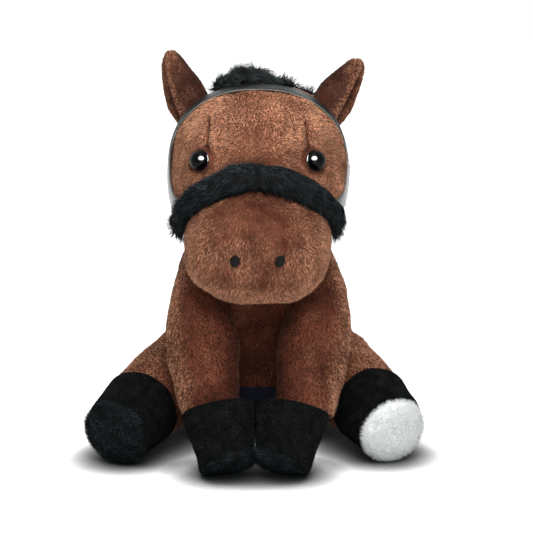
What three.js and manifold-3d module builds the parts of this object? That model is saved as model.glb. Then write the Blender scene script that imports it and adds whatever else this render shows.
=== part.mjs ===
// A seated plush horse with a bridle, a noseband roll, felt socks and a saddle cloth, in millimetres.
// It sits on z = 0 and looks along -y, and x runs to its own left side.
import * as THREE from 'three';
import { mergeVertices } from 'three/addons/utils/BufferGeometryUtils.js';
import Module from 'manifold-3d';

const wasm = await Module();
wasm.setup();

// Cloth, gaps and the flat underside
const plushWall = 1.8;
const clearance = 0.3;
const seatCut = 0.5;
const fillInset = 1.8;

// Body: a broad belly with a narrower chest leaning forward above it
const bellyHalfWidth = 44;
const bellyHalfDepth = 38;
const bellyHalfHeight = 40;
const chestHalfWidth = 38;
const chestHalfDepth = 30;
const chestHalfHeight = 30;
const chestForward = 20;
const chestUp = 78;

// Head: a round cranium, full cheeks and a blunt muzzle
const craniumHalfWidth = 41;
const craniumHalfDepth = 38;
const craniumHalfHeight = 40;
const craniumForward = 24;
const craniumUp = 129;
const cheekHalfWidth = 36;
const cheekHalfDepth = 30;
const cheekHalfHeight = 28;
const cheekForward = 46;
const cheekUp = 118;
const muzzleHalfWidth = 32;
const muzzleHalfDepth = 24;
const muzzleHalfHeight = 24;
const muzzleForward = 68;
const muzzleUp = 98.3;
const neckRadius = 17;

// Neck seam that the head nods about
const neckPivotForward = 14;
const neckPivotUp = 97;

// Safety eyes: a dome in front of the cloth and a washer pushed on its stem behind it
const eyeDiameter = 10;
const eyeHeight = 4.2;
const eyeStemDiameter = 3.4;
const eyeStemLength = 8;
const eyeRimThickness = 1;
const eyeOut = 25.8;
const eyeUp = 137;
const eyeTurnOut = 30;
const washerDiameter = 11;
const washerThickness = 1.4;

// Sewn nostrils
const nostrilWidth = 4.5;
const nostrilHeight = 5.2;
const nostrilOut = 9.7;
const nostrilUp = 97;
const threadThickness = 0.9;

// Noseband roll over the muzzle and the glossy strap over the head
const nosebandRadius = 7.6;
const nosebandEndRadius = 5.2;
const nosebandRise = 2.6;
const nosebandEndRise = 0.3;
const strapWidth = 8.5;
const strapThickness = 1;

// Ears
const earLength = 30;
const earThickness = 2.4;

// Mane: a forelock between the ears and a crest down the nape
const forelockRadius = 7;
const forelockRise = 1.5;
const crestRadius = 7;
const crestRise = 3;

// Front legs, from the shoulder down to the sole
const shoulderOut = 21;
const shoulderForward = 32;
const shoulderUp = 95;
const leftElbowOut = 28;
const rightElbowOut = 26.8;
const elbowForward = 48;
const elbowUp = 71;
const kneeOut = 25;
const kneeForward = 63;
const kneeUp = 50;
const cuffOut = 21.3;
const cuffForward = 78.5;
const cuffUp = 30;
const leftFrontSoleOut = 11.2;
const rightFrontSoleOut = 13.4;
const frontSoleForward = 91.5;
const frontSoleUp = 7.8;
const feetMeetOut = -1.2;
const shoulderRadius = 11;
const elbowRadius = 13.6;
const kneeRadius = 16.4;
const cuffRadius = 13.6;
const frontSoleRadius = 12.6;

// Hind legs, from the hip forward and out to the sole
const hipOut = 30;
const hipForward = 4;
const leftHipUp = 31;
const rightHipUp = 29.6;
const hockOut = 49;
const hockForward = 40;
const hockUp = 23.5;
const leftHindSoleOut = 61;
const leftHindSoleForward = 69;
const rightHindSoleOut = 64;
const rightHindSoleForward = 73;
const hindSoleUp = 15.2;
const hipRadius = 23;
const hockRadius = 19.5;
const hindSoleRadius = 15.8;

// Socks and soles: wider sleeves at the end of each leg. A front sock leans in to meet the other one.
const frontSockLength = 24;
const hindSockLength = 26;
const leftFrontSleeveOut = 17;
const rightFrontSleeveOut = 19;
const frontSleeveForward = 79;
const frontSleeveUp = 33;
const frontSleeveRadius = 17.4;
const hindSleeveRise = 1;
const soleDepth = 5;

// Saddle cloth over the back, with its girth under the belly
const girthTilt = 39;
const girthForward = 6;
const girthUp = 48.6;
const girthWidth = 6.5;
const clothLength = 34;
const clothThickness = 1.2;

// Tail
const tailRadius = 8.5;
const tailLength = 30;
const tailUp = 32;

// How far each soft joint gives, in degrees; smaller pieces are trimmed to clear the whole of it
const nodDownDegrees = 3;
const nodUpDegrees = 5;
const frontSwingDegrees = 6;
const hindLiftDegrees = 8;
const earFoldDegrees = 12;
const tailLiftDegrees = 25;

// Facets
const bodySegments = 24;
const bodyRings = 14;
const headSegments = 24;
const headRings = 15;
const fillSegments = 18;
const fillRings = 11;
const limbSides = 14;
const limbSteps = 7;
const fillSides = 10;
const tuftSides = 10;
const earRows = 8;
const earColumnShares = [-1, -0.7, -0.4, -0.18, 0, 0.18, 0.4, 0.7, 1];
const lathedSegments = 16;
const thinSweepSteps = 5;

// How softly two swellings of one stuffed form run into each other
const blendSharpness = 8;

// Materials
const finish = (color, roughness) => new THREE.MeshStandardMaterial({ color, roughness, metalness: 0 });
const brownPlush = finish(0x8a5733, 0.95);
const blackFelt = finish(0x17181b, 0.9);
const blackPlush = finish(0x121318, 0.95);
const whitePlush = finish(0xe9e7e2, 0.95);
const stuffing = finish(0xf3f1ea, 0.95);
const glossyStrap = finish(0x14171a, 0.2);
const glossyEye = finish(0x0b0b0d, 0.08);
const washerPlastic = finish(0xdedbd2, 0.45);
const embroidery = finish(0x151312, 0.7);
const longPile = finish(0x0f0f12, 0.9);
const blueCloth = finish(0x1f5fb4, 0.75);

const group = new THREE.Group();
group.name = 'plush_horse';

function addPiece(name, geometry, material) {
  const mesh = new THREE.Mesh(geometry, material);
  mesh.name = name;
  group.add(mesh);
}

// Solids and geometries
function toSolid(geometry) {
  const bare = geometry.clone();
  bare.deleteAttribute('normal');
  bare.deleteAttribute('uv');
  const merged = mergeVertices(bare);
  const kept = [];
  const corners = merged.index.array;
  for (let i = 0; i < corners.length; i += 3) {
    const [a, b, c] = [corners[i], corners[i + 1], corners[i + 2]];
    if (a !== b && b !== c && c !== a) kept.push(a, b, c);
  }
  return new wasm.Manifold(new wasm.Mesh({
    numProp: 3,
    vertProperties: new Float32Array(merged.attributes.position.array),
    triVerts: new Uint32Array(kept),
  }));
}

function toGeometry(solid) {
  const mesh = solid.getMesh();
  const geometry = new THREE.BufferGeometry();
  geometry.setAttribute('position', new THREE.BufferAttribute(new Float32Array(mesh.vertProperties), 3));
  geometry.setIndex(new THREE.BufferAttribute(new Uint32Array(mesh.triVerts), 1));
  geometry.computeVertexNormals();
  return geometry;
}

function cutAll(solid, cutters) {
  let left = solid;
  for (const cutter of cutters) left = left.subtract(cutter);
  return left;
}

function joinAll(solids) {
  let whole = solids[0];
  for (const solid of solids.slice(1)) whole = whole.add(solid);
  return whole;
}

function turnedAbout(geometry, pivot, axis, degrees) {
  const turn = new THREE.Matrix4().makeRotationAxis(axis, THREE.MathUtils.degToRad(degrees));
  const back = new THREE.Matrix4().makeTranslation(pivot.x, pivot.y, pivot.z);
  const there = new THREE.Matrix4().makeTranslation(-pivot.x, -pivot.y, -pivot.z);
  return geometry.clone().applyMatrix4(back.multiply(turn).multiply(there));
}

// The room that a form needs while it turns about a pivot through the given angles
function swept(geometry, pivot, axis, angles) {
  return joinAll(angles.map((degrees) => toSolid(turnedAbout(geometry, pivot, axis, degrees))));
}

// Angles from one limit to the other, close enough together for the room of a thin strip
function smallTurns(first, last) {
  return Array.from({ length: thinSweepSteps + 1 }, (_, i) => first + ((last - first) * i) / thinSweepSteps);
}

// Stuffed forms: swellings, each a centre and three half sizes, that run into each other
const swelling = (center, half, fullness) => ({ center, half, fullness });

function fieldAt(form, point) {
  let sum = 0;
  for (const { center, half, fullness } of form.swellings) {
    const share = Math.abs((point.x - center.x) / half.x) ** fullness
      + Math.abs((point.y - center.y) / half.y) ** fullness
      + Math.abs((point.z - center.z) / half.z) ** fullness;
    sum += (share + Number.EPSILON) ** (-blendSharpness / fullness);
  }
  return sum - 1;
}

function normalAt(form, point) {
  const step = clearance / 10;
  const slope = (axis) => fieldAt(form, point.clone().addScaledVector(axis, -step))
    - fieldAt(form, point.clone().addScaledVector(axis, step));
  return new THREE.Vector3(slope(sideways), slope(backward), slope(upward)).normalize();
}

const sideways = new THREE.Vector3(1, 0, 0);
const backward = new THREE.Vector3(0, 1, 0);
const upward = new THREE.Vector3(0, 0, 1);

// Where a ray from inside leaves the form
function exitPoint(form, start, direction) {
  let inside = 0;
  let outside = form.reach;
  for (let i = 0; i < 40; i += 1) {
    const middle = (inside + outside) / 2;
    const point = start.clone().addScaledVector(direction, middle);
    if (fieldAt(form, point) > 0) inside = middle;
    else outside = middle;
  }
  return start.clone().addScaledVector(direction, inside);
}

// The surface point nearest to the line from the form's heart through the given place, and its normal
function onSurface(form, place, rise = 0) {
  const direction = place.clone().sub(form.heart).normalize();
  const foot = exitPoint(form, form.heart, direction);
  const normal = normalAt(form, foot);
  return { point: foot.clone().addScaledVector(normal, rise), normal };
}

function stuffedForm(form, offset, segments, rings) {
  const ball = new THREE.SphereGeometry(1, segments, rings);
  ball.applyQuaternion(new THREE.Quaternion().setFromUnitVectors(backward, form.pole));
  const position = ball.attributes.position;
  for (let i = 0; i < position.count; i += 1) {
    const direction = new THREE.Vector3().fromBufferAttribute(position, i);
    const { point } = onSurface(form, form.heart.clone().add(direction), offset);
    position.setXYZ(i, point.x, point.y, point.z);
  }
  return ball;
}

// A stuffed limb or a tuft: round sections along a route, with domed ends
function loft(route, radiusAt, sides, steps, domes, reference) {
  const curve = new THREE.CatmullRomCurve3(route);
  const domeShares = [[0, 1], [0.55, 0.84], [0.9, 0.44]];
  const stations = [];
  const addStation = (share, shift, radius) => {
    const tangent = curve.getTangentAt(share);
    const center = curve.getPointAt(share).addScaledVector(tangent, shift);
    stations.push({ center, tangent, radius });
  };
  for (const [depth, width] of [...domeShares].reverse()) {
    addStation(0, -depth * domes[0], width * radiusAt(0));
  }
  for (let i = 1; i < steps; i += 1) addStation(i / steps, 0, radiusAt(i / steps));
  for (const [depth, width] of domeShares) addStation(1, depth * domes[1], width * radiusAt(1));
  const positions = [];
  const index = [];
  const ends = [
    stations[0].center.clone().addScaledVector(stations[0].tangent, -0.1 * domes[0]),
    stations.at(-1).center.clone().addScaledVector(stations.at(-1).tangent, 0.1 * domes[1]),
  ];
  for (const { center, tangent, radius } of stations) {
    const across = reference.clone().addScaledVector(tangent, -reference.dot(tangent)).normalize();
    const over = tangent.clone().cross(across);
    for (let side = 0; side < sides; side += 1) {
      const angle = (2 * Math.PI * side) / sides;
      const rim = center.clone().addScaledVector(across, radius * Math.cos(angle))
        .addScaledVector(over, radius * Math.sin(angle));
      positions.push(rim.x, rim.y, rim.z);
    }
  }
  for (let ring = 0; ring < stations.length - 1; ring += 1) {
    for (let side = 0; side < sides; side += 1) {
      const [a, b] = [ring * sides + side, ring * sides + ((side + 1) % sides)];
      index.push(a, b, b + sides, a, b + sides, a + sides);
    }
  }
  const [first, last] = [positions.length / 3, positions.length / 3 + 1];
  for (const end of ends) positions.push(end.x, end.y, end.z);
  const lastRing = (stations.length - 1) * sides;
  for (let side = 0; side < sides; side += 1) {
    const next = (side + 1) % sides;
    index.push(first, next, side, last, lastRing + side, lastRing + next);
  }
  const geometry = new THREE.BufferGeometry();
  geometry.setAttribute('position', new THREE.Float32BufferAttribute(positions, 3));
  geometry.setIndex(index);
  return geometry;
}

// A value that runs smoothly through the given ones, spread evenly over 0 to 1
function smoothThrough(values) {
  const curve = new THREE.CatmullRomCurve3(values.map((value, i) => new THREE.Vector3(i, value, 0)));
  return (share) => curve.getPoint(share).y;
}

// Whether a grid's rows and columns turn the same way as its top side faces
function facesUp(grid) {
  const corner = grid[0][0];
  const down = grid[1][0].point.clone().sub(corner.point);
  const along = grid[0][1].point.clone().sub(corner.point);
  return down.cross(along).dot(corner.normal) > 0;
}

// A sheet of even thickness over a grid of places, each with the way its top side faces
function thickSheet(places, thickness) {
  const grid = facesUp(places) ? places : places.map((row) => [...row].reverse());
  const [rows, columns] = [grid.length, grid[0].length];
  const positions = [];
  for (const lift of [0, thickness]) {
    for (const row of grid) {
      for (const { point, normal } of row) {
        const place = point.clone().addScaledVector(normal, lift);
        positions.push(place.x, place.y, place.z);
      }
    }
  }
  const under = (r, c) => r * columns + c;
  const over = (r, c) => rows * columns + under(r, c);
  const index = [];
  const quad = (a, b, c, d) => index.push(a, b, c, a, c, d);
  for (let r = 0; r < rows - 1; r += 1) {
    for (let c = 0; c < columns - 1; c += 1) {
      quad(over(r, c), over(r + 1, c), over(r + 1, c + 1), over(r, c + 1));
      quad(under(r, c), under(r, c + 1), under(r + 1, c + 1), under(r + 1, c));
    }
    quad(under(r, 0), under(r + 1, 0), over(r + 1, 0), over(r, 0));
    quad(under(r + 1, columns - 1), under(r, columns - 1), over(r, columns - 1), over(r + 1, columns - 1));
  }
  for (let c = 0; c < columns - 1; c += 1) {
    quad(under(0, c + 1), under(0, c), over(0, c), over(0, c + 1));
    quad(under(rows - 1, c), under(rows - 1, c + 1), over(rows - 1, c + 1), over(rows - 1, c));
  }
  const geometry = new THREE.BufferGeometry();
  geometry.setAttribute('position', new THREE.Float32BufferAttribute(positions, 3));
  geometry.setIndex(index);
  return geometry;
}

// A slab that covers everything on the far side of a plane
function beyondPlane(origin, normal) {
  const size = 2 * (bellyHalfHeight + craniumUp);
  const slab = new THREE.BoxGeometry(size, size, size);
  slab.translate(0, 0, size / 2);
  slab.applyQuaternion(new THREE.Quaternion().setFromUnitVectors(upward, normal));
  slab.translate(origin.x, origin.y, origin.z);
  return toSolid(slab);
}

const place = (out, forward, up) => new THREE.Vector3(out, -forward, up);

// The body's and the head's forms
const bellyUp = bellyHalfHeight - seatCut;
const bodyForm = {
  swellings: [
    swelling(place(0, 0, bellyUp), new THREE.Vector3(bellyHalfWidth, bellyHalfDepth, bellyHalfHeight), 2.4),
    swelling(
      place(0, chestForward, chestUp),
      new THREE.Vector3(chestHalfWidth, chestHalfDepth, chestHalfHeight),
      2,
    ),
  ],
  heart: place(0, girthForward, girthUp),
  pole: upward,
  reach: 3 * bellyHalfHeight,
};
const headForm = {
  swellings: [
    swelling(
      place(0, craniumForward, craniumUp),
      new THREE.Vector3(craniumHalfWidth, craniumHalfDepth, craniumHalfHeight),
      2.3,
    ),
    swelling(
      place(0, cheekForward, cheekUp),
      new THREE.Vector3(cheekHalfWidth, cheekHalfDepth, cheekHalfHeight),
      2,
    ),
    swelling(
      place(0, muzzleForward, muzzleUp),
      new THREE.Vector3(muzzleHalfWidth, muzzleHalfDepth, muzzleHalfHeight),
      2.5,
    ),
  ],
  heart: place(0, (craniumForward + cheekForward) / 2, (craniumUp + cheekUp) / 2),
  pole: place(0, muzzleForward - craniumForward, muzzleUp - craniumUp).normalize(),
  reach: 3 * craniumHalfHeight,
};

const neckPivot = place(0, neckPivotForward, neckPivotUp);
const shoulderPivot = place(0, chestForward, chestUp);
const hipPivot = place(0, 0, bellyUp);
const nodAngles = [-nodUpDegrees, nodDownDegrees];

const floor = beyondPlane(place(0, 0, 0), upward.clone().negate());
const headCutter = stuffedForm(headForm, clearance, headSegments, headRings);
const bodyCutter = stuffedForm(bodyForm, clearance, bodySegments, bodyRings);

// Head: a plush skin with a neck opening and its stuffing
function addHead() {
  const outer = toSolid(stuffedForm(headForm, 0, headSegments, headRings));
  const hollow = toSolid(stuffedForm(headForm, -plushWall, headSegments, headRings));
  const filling = toSolid(stuffedForm(headForm, -plushWall - fillInset, fillSegments, fillRings));
  const neck = (radius) => {
    const hole = new THREE.CylinderGeometry(radius, radius, craniumHalfHeight, lathedSegments);
    hole.rotateX(Math.PI / 2);
    hole.translate(0, -neckPivotForward, craniumUp - craniumHalfHeight);
    return toSolid(hole);
  };
  const fittings = eyeCutters();
  const skin = outer.subtract(hollow);
  addPiece('head_skin', toGeometry(cutAll(skin, [neck(neckRadius), ...fittings])), brownPlush);
  const plug = neck(neckRadius - clearance).intersect(outer);
  addPiece('head_fill', toGeometry(cutAll(filling.add(plug), fittings)), stuffing);
}

// Eyes: lathed about their stems, which point out of the head
function eyeSeat(side) {
  const start = place(side * eyeOut, craniumForward, eyeUp);
  const point = exitPoint(headForm, start, backward.clone().negate());
  const normal = new THREE.Vector3(side * Math.tan(THREE.MathUtils.degToRad(eyeTurnOut)), -1, 0).normalize();
  const settled = normalAt(headForm, point).add(normal).normalize();
  return { point, turn: new THREE.Quaternion().setFromUnitVectors(backward, settled) };
}

function lathed(profile, seat) {
  const points = profile.map(([radius, along]) => new THREE.Vector2(radius, along));
  const geometry = new THREE.LatheGeometry(points, lathedSegments);
  geometry.applyQuaternion(seat.turn);
  geometry.translate(seat.point.x, seat.point.y, seat.point.z);
  return geometry;
}

function eyeProfile(gap) {
  const rim = eyeDiameter / 2;
  const stem = eyeStemDiameter / 2;
  return [
    [0, -eyeStemLength - gap],
    [stem + gap, -eyeStemLength - gap],
    [stem + gap, -gap],
    [rim + gap, -gap],
    [rim + gap, eyeRimThickness],
    [0.82 * rim + gap, 0.62 * eyeHeight],
    [0.5 * rim, 0.9 * eyeHeight],
    [0, eyeHeight + gap],
  ];
}

function washerProfile(gap) {
  const [inner, outer] = [eyeStemDiameter / 2 + clearance - gap, washerDiameter / 2 + gap];
  const top = -plushWall - clearance + gap;
  const bottom = -plushWall - clearance - washerThickness - gap;
  return [[inner, bottom], [outer, bottom], [outer, top], [inner, top], [inner, bottom]];
}

function eyeCutters() {
  const solids = [];
  for (const side of [1, -1]) {
    const seat = eyeSeat(side);
    solids.push(toSolid(lathed(eyeProfile(clearance), seat)));
    const [low, high] = [-plushWall - 2 * clearance - washerThickness, -plushWall];
    const pocket = washerDiameter / 2 + clearance;
    solids.push(toSolid(lathed([[0, low], [pocket, low], [pocket, high], [0, high]], seat)));
  }
  return solids;
}

function addEyes() {
  for (const [name, side] of [['left', 1], ['right', -1]]) {
    const seat = eyeSeat(side);
    addPiece(`eye_${name}`, lathed(eyeProfile(0), seat), glossyEye);
    addPiece(`eye_washer_${name}`, lathed(washerProfile(0), seat), washerPlastic);
  }
}

// Nostrils: small pads of satin stitch that lie on the muzzle
function addNostrils() {
  for (const [name, side] of [['left', 1], ['right', -1]]) {
    const start = place(side * nostrilOut, muzzleForward, nostrilUp);
    const middle = exitPoint(headForm, start, backward.clone().negate());
    const grid = [-1, -0.5, 0, 0.5, 1].map((v) => {
      const spread = Math.sqrt(1 - (0.9 * v) ** 2);
      return [-1, -0.4, 0.4, 1].map((u) => {
        const spot = middle.clone().add(place((u * spread * nostrilWidth) / 2, 0, (v * nostrilHeight) / 2));
        return onSurface(headForm, spot);
      });
    });
    const pad = toSolid(thickSheet(grid, threadThickness + clearance));
    addPiece(`nostril_${name}`, toGeometry(pad.subtract(toSolid(headCutter))), embroidery);
  }
}

// A place on the head, given as shares of a swelling's half sizes from its centre
function byShares(form, [out, forward, up]) {
  const { center, half } = form;
  return new THREE.Vector3(center.x + out * half.x, center.y - forward * half.y, center.z + up * half.z);
}

// A route over the head: one side of it, its middle, and the same side mirrored
const acrossTheHead = (side, middle) => (
  [...side, middle, ...[...side].reverse().map(([out, forward, up]) => [-out, forward, up])]
);

// Noseband: a fluffy roll that bends over the muzzle and ends on the cheeks
const nosebandSideShares = [[1.13, -0.2, 0.27], [1.07, 0.03, 0.6], [0.84, 0.3, 0.91], [0.45, 0.38, 1.22]];
const nosebandMiddleShares = [0, 0.4, 1.34];
const nosebandRouteShares = acrossTheHead(nosebandSideShares, nosebandMiddleShares);

function nosebandRoll(growth) {
  const muzzle = headForm.swellings[2];
  const last = nosebandRouteShares.length - 1;
  const route = nosebandRouteShares.map((shares, i) => {
    const rise = i === 0 || i === last ? nosebandEndRise : nosebandRise;
    return onSurface(headForm, byShares(muzzle, shares), rise).point;
  });
  const radii = [nosebandEndRadius, nosebandRadius, nosebandRadius, nosebandRadius, nosebandEndRadius];
  const radiusAt = smoothThrough(radii.map((radius) => radius + growth));
  const dome = nosebandEndRadius / 3 + growth;
  return loft(route, radiusAt, tuftSides, 2 * limbSteps, [dome, dome], headForm.pole);
}

function addNoseband() {
  addPiece('noseband', toGeometry(toSolid(nosebandRoll(0)).subtract(toSolid(headCutter))), blackPlush);
}

// Head strap: one glossy strip from one end of the noseband over the head to the other
const strapSideShares = [
  [0.88, 0.93, -0.36], [0.95, 0.66, -0.26], [1, 0.44, -0.1], [1.02, 0.27, 0.12], [1, 0.16, 0.38],
  [0.92, 0.15, 0.55], [0.78, 0.22, 0.71], [0.58, 0.26, 0.86], [0.3, 0.29, 0.96],
];
const strapCrownShares = [0, 0.3, 0.99];
const strapRouteShares = acrossTheHead(strapSideShares, strapCrownShares);

function strapGrid(rise) {
  const cranium = headForm.swellings[0];
  const curve = new THREE.CatmullRomCurve3(
    strapRouteShares.map((shares) => onSurface(headForm, byShares(cranium, shares)).point),
  );
  const steps = 2 * (strapRouteShares.length - 1);
  const grid = [];
  for (let i = 0; i <= steps; i += 1) {
    const middle = curve.getPointAt(i / steps);
    const { normal } = onSurface(headForm, middle);
    const across = curve.getTangentAt(i / steps).cross(normal).normalize();
    grid.push([-1, 0, 1].map((v) => (
      onSurface(headForm, middle.clone().addScaledVector(across, (v * strapWidth) / 2), rise)
    )));
  }
  return grid;
}

function addHeadStrap() {
  const strap = toSolid(thickSheet(strapGrid(2 * clearance), strapThickness));
  addPiece('head_strap', toGeometry(strap.subtract(toSolid(nosebandRoll(clearance)))), glossyStrap);
}

// Ears: a leaf of two cloth layers, folded lengthwise with its crease on the inner side and open outward.
// Its crease and its two free edges run from base to tip, in shares of the ear's length from its root.
const earRootShares = [0.78, -0.26, 0.66];
const leftEarShares = {
  front: [
    [0.15, 0.183, -0.15], [0.277, 0.177, 0.133], [0.42, 0.133, 0.417],
    [0.533, 0.06, 0.643], [0.543, -0.04, 0.803],
  ],
  crease: [
    [-0.15, -0.033, 0.2], [-0.01, -0.05, 0.4], [0.16, -0.067, 0.55],
    [0.325, -0.083, 0.68], [0.455, -0.093, 0.785],
  ],
  rear: [
    [0.34, -0.183, -0.217], [0.5, -0.213, 0.217], [0.6, -0.213, 0.527],
    [0.62, -0.193, 0.703], [0.567, -0.145, 0.803],
  ],
};
const rightEarShares = {
  front: [
    [0.117, 0.183, -0.183], [0.227, 0.177, 0.1], [0.32, 0.133, 0.4],
    [0.387, 0.06, 0.7], [0.373, -0.04, 0.937],
  ],
  crease: [
    [-0.24, -0.033, 0.15], [-0.1, -0.05, 0.43], [0.06, -0.067, 0.63],
    [0.19, -0.083, 0.8], [0.31, -0.093, 0.918],
  ],
  rear: [
    [0.3, -0.183, -0.217], [0.407, -0.213, 0.15], [0.46, -0.213, 0.483],
    [0.463, -0.193, 0.75], [0.397, -0.145, 0.93],
  ],
};
const earFoldShare = 0.22;

function earRoot(side) {
  const [out, forward, up] = earRootShares;
  return onSurface(headForm, byShares(headForm.swellings[0], [side * out, forward, up])).point;
}

// How far across each arm of the fold a point lies, from 0 at the crease, with the crease itself rounded
function foldShares(v) {
  const rounded = Math.hypot(v, earFoldShare) - earFoldShare;
  const away = rounded / (Math.hypot(1, earFoldShare) - earFoldShare);
  return [(away - v) / 2, (away + v) / 2];
}

function earLeaf(side, shares) {
  const root = earRoot(side);
  const edge = (line) => new THREE.CatmullRomCurve3(line.map(([out, forward, up]) => (
    root.clone().addScaledVector(place(side * out, forward, up), earLength)
  )));
  const [front, crease, rear] = [edge(shares.front), edge(shares.crease), edge(shares.rear)];
  const pointAt = (height, v) => {
    const middle = crease.getPoint(height);
    const [toFront, toRear] = foldShares(v);
    return middle.clone().addScaledVector(front.getPoint(height).sub(middle), toFront)
      .addScaledVector(rear.getPoint(height).sub(middle), toRear);
  };
  const step = earFoldShare / 10;
  const grid = [];
  for (let row = 0; row <= earRows; row += 1) {
    const height = row / earRows;
    grid.push(earColumnShares.map((v) => {
      const along = pointAt(Math.min(1, height + step), v).sub(pointAt(Math.max(0, height - step), v));
      const across = pointAt(height, v + step).sub(pointAt(height, v - step));
      return { point: pointAt(height, v), normal: along.cross(across).multiplyScalar(side).normalize() };
    }));
  }
  return thickSheet(grid, earThickness);
}

function addEars() {
  for (const [name, side, shares] of [['left', 1, leftEarShares], ['right', -1, rightEarShares]]) {
    const pivot = earRoot(side);
    const folds = smallTurns(-earFoldDegrees, earFoldDegrees);
    const strap = thickSheet(strapGrid(0), strapThickness + 4 * clearance);
    const rooms = [swept(headCutter, pivot, sideways, folds), swept(strap, pivot, sideways, folds)];
    addPiece(`ear_${name}`, toGeometry(cutAll(toSolid(earLeaf(side, shares)), rooms)), brownPlush);
  }
}

// Mane: two long-pile tufts, trimmed to the head
const forelockRouteShares = [
  [0.56, 0.02, 0.86], [0.3, 0.02, 0.96], [0.04, 0.02, 1], [-0.25, 0.02, 0.98], [-0.42, 0.02, 0.92],
];
const forelockRadiusShares = [0.3, 0.5, 0.62, 1, 0.7];
const crestRouteShares = [[0, -0.32, 0.98], [0, -0.75, 0.68], [0, -1.04, 0.1], [0, -0.9, -0.5]];

function manePiece(routeShares, rise, radii, reference, cutters) {
  const cranium = headForm.swellings[0];
  const route = routeShares.map((shares) => onSurface(headForm, byShares(cranium, shares), rise).point);
  const domes = [radii[0] / 2, radii.at(-1) / 2];
  const tuft = loft(route, smoothThrough(radii), tuftSides, limbSteps, domes, reference);
  return cutAll(toSolid(tuft), [toSolid(headCutter), ...cutters]);
}

function addMane() {
  const strapRoom = toSolid(thickSheet(strapGrid(clearance), strapThickness + 2 * clearance));
  const forelock = manePiece(
    forelockRouteShares,
    forelockRise,
    forelockRadiusShares.map((share) => share * forelockRadius),
    backward,
    [strapRoom],
  );
  addPiece('mane_forelock', toGeometry(forelock), longPile);
  const crest = manePiece(
    crestRouteShares,
    crestRise,
    [crestRadius, crestRadius, crestRadius, crestRadius / 2],
    sideways,
    [],
  );
  addPiece('mane_crest', toGeometry(crest), longPile);
}

// Body: the skin and stuffing are hollowed at the top, where the head rolls on them
function addBody() {
  const headRoom = swept(headCutter, neckPivot, sideways, nodAngles);
  const outer = toSolid(stuffedForm(bodyForm, 0, bodySegments, bodyRings));
  const hollow = toSolid(stuffedForm(bodyForm, -plushWall, bodySegments, bodyRings));
  const filling = toSolid(stuffedForm(bodyForm, -plushWall - fillInset, fillSegments, fillRings));
  addPiece('body_skin', toGeometry(cutAll(outer.subtract(hollow), [headRoom, floor])), brownPlush);
  addPiece('body_fill', toGeometry(cutAll(filling, [headRoom])), stuffing);
}

// A leg's limb or its sleeve, grown or shrunk all round by the given amount
function limbForm({ route, radiusAt }, offset, sides) {
  const domes = [radiusAt(0) / 2, soleDepth + offset];
  return loft(route, (share) => radiusAt(share) + offset, sides, limbSteps, domes, sideways);
}

function frontLeg(side) {
  const [elbowOut, sleeveOut, soleOut] = side > 0
    ? [leftElbowOut, leftFrontSleeveOut, leftFrontSoleOut]
    : [rightElbowOut, rightFrontSleeveOut, rightFrontSoleOut];
  const sole = place(side * soleOut, frontSoleForward, frontSoleUp);
  return {
    limb: {
      route: [
        place(side * shoulderOut, shoulderForward, shoulderUp),
        place(side * elbowOut, elbowForward, elbowUp),
        place(side * kneeOut, kneeForward, kneeUp),
        place(side * cuffOut, cuffForward, cuffUp),
        sole,
      ],
      radiusAt: smoothThrough([shoulderRadius, elbowRadius, kneeRadius, cuffRadius, frontSoleRadius]),
    },
    sleeve: {
      route: [place(side * sleeveOut, frontSleeveForward, frontSleeveUp), sole],
      radiusAt: smoothThrough([frontSleeveRadius, frontSoleRadius]),
    },
    sockLength: frontSockLength,
    soleMaterial: blackPlush,
  };
}

function hindLeg(side) {
  const [hipUp, soleOut, soleForward] = side > 0
    ? [leftHipUp, leftHindSoleOut, leftHindSoleForward]
    : [rightHipUp, rightHindSoleOut, rightHindSoleForward];
  const limb = {
    route: [
      place(side * hipOut, hipForward, hipUp),
      place(side * hockOut, hockForward, hockUp),
      place(side * soleOut, soleForward, hindSoleUp),
    ],
    radiusAt: smoothThrough([hipRadius, hockRadius, hindSoleRadius - hindSleeveRise]),
  };
  return {
    limb,
    sleeve: { route: limb.route, radiusAt: (share) => limb.radiusAt(share) + hindSleeveRise },
    sockLength: hindSockLength,
    soleMaterial: side > 0 ? whitePlush : blackPlush,
  };
}

// One leg over its stuffing: a plush tube, a felt sock that closes in on it with a shoulder, and a round sole
function addLeg(name, leg, rooms, fillRooms) {
  const shell = (form) => [0, -plushWall].map((offset) => toSolid(limbForm(form, offset, limbSides)));
  const [limbOuter, limbHollow] = shell(leg.limb);
  const [outer, hollow] = shell(leg.sleeve);
  const filling = toSolid(limbForm(leg.limb, -plushWall - fillInset, fillSides));
  const curve = new THREE.CatmullRomCurve3(leg.sleeve.route);
  const cuffShare = 1 - leg.sockLength / curve.getLength();
  const beyond = (share, shift) => {
    const tangent = curve.getTangentAt(share);
    return beyondPlane(curve.getPointAt(share).addScaledVector(tangent, shift), tangent);
  };
  const skin = limbOuter.subtract(limbHollow).subtract(beyond(cuffShare, -clearance));
  const mouth = limbHollow.subtract(beyond(cuffShare, 2 * plushWall));
  const sleeve = outer.subtract(hollow.intersect(beyond(cuffShare, plushWall))).subtract(mouth);
  const sock = sleeve.intersect(beyond(cuffShare, 0)).subtract(beyond(1, -clearance));
  const sole = outer.subtract(hollow).intersect(beyond(1, 0));
  addPiece(`${name}_skin`, toGeometry(cutAll(skin, rooms)), brownPlush);
  addPiece(`${name}_sock`, toGeometry(cutAll(sock, rooms)), blackFelt);
  addPiece(`${name}_sole`, toGeometry(cutAll(sole, rooms)), leg.soleMaterial);
  addPiece(`${name}_fill`, toGeometry(cutAll(filling, fillRooms)), stuffing);
}

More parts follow.
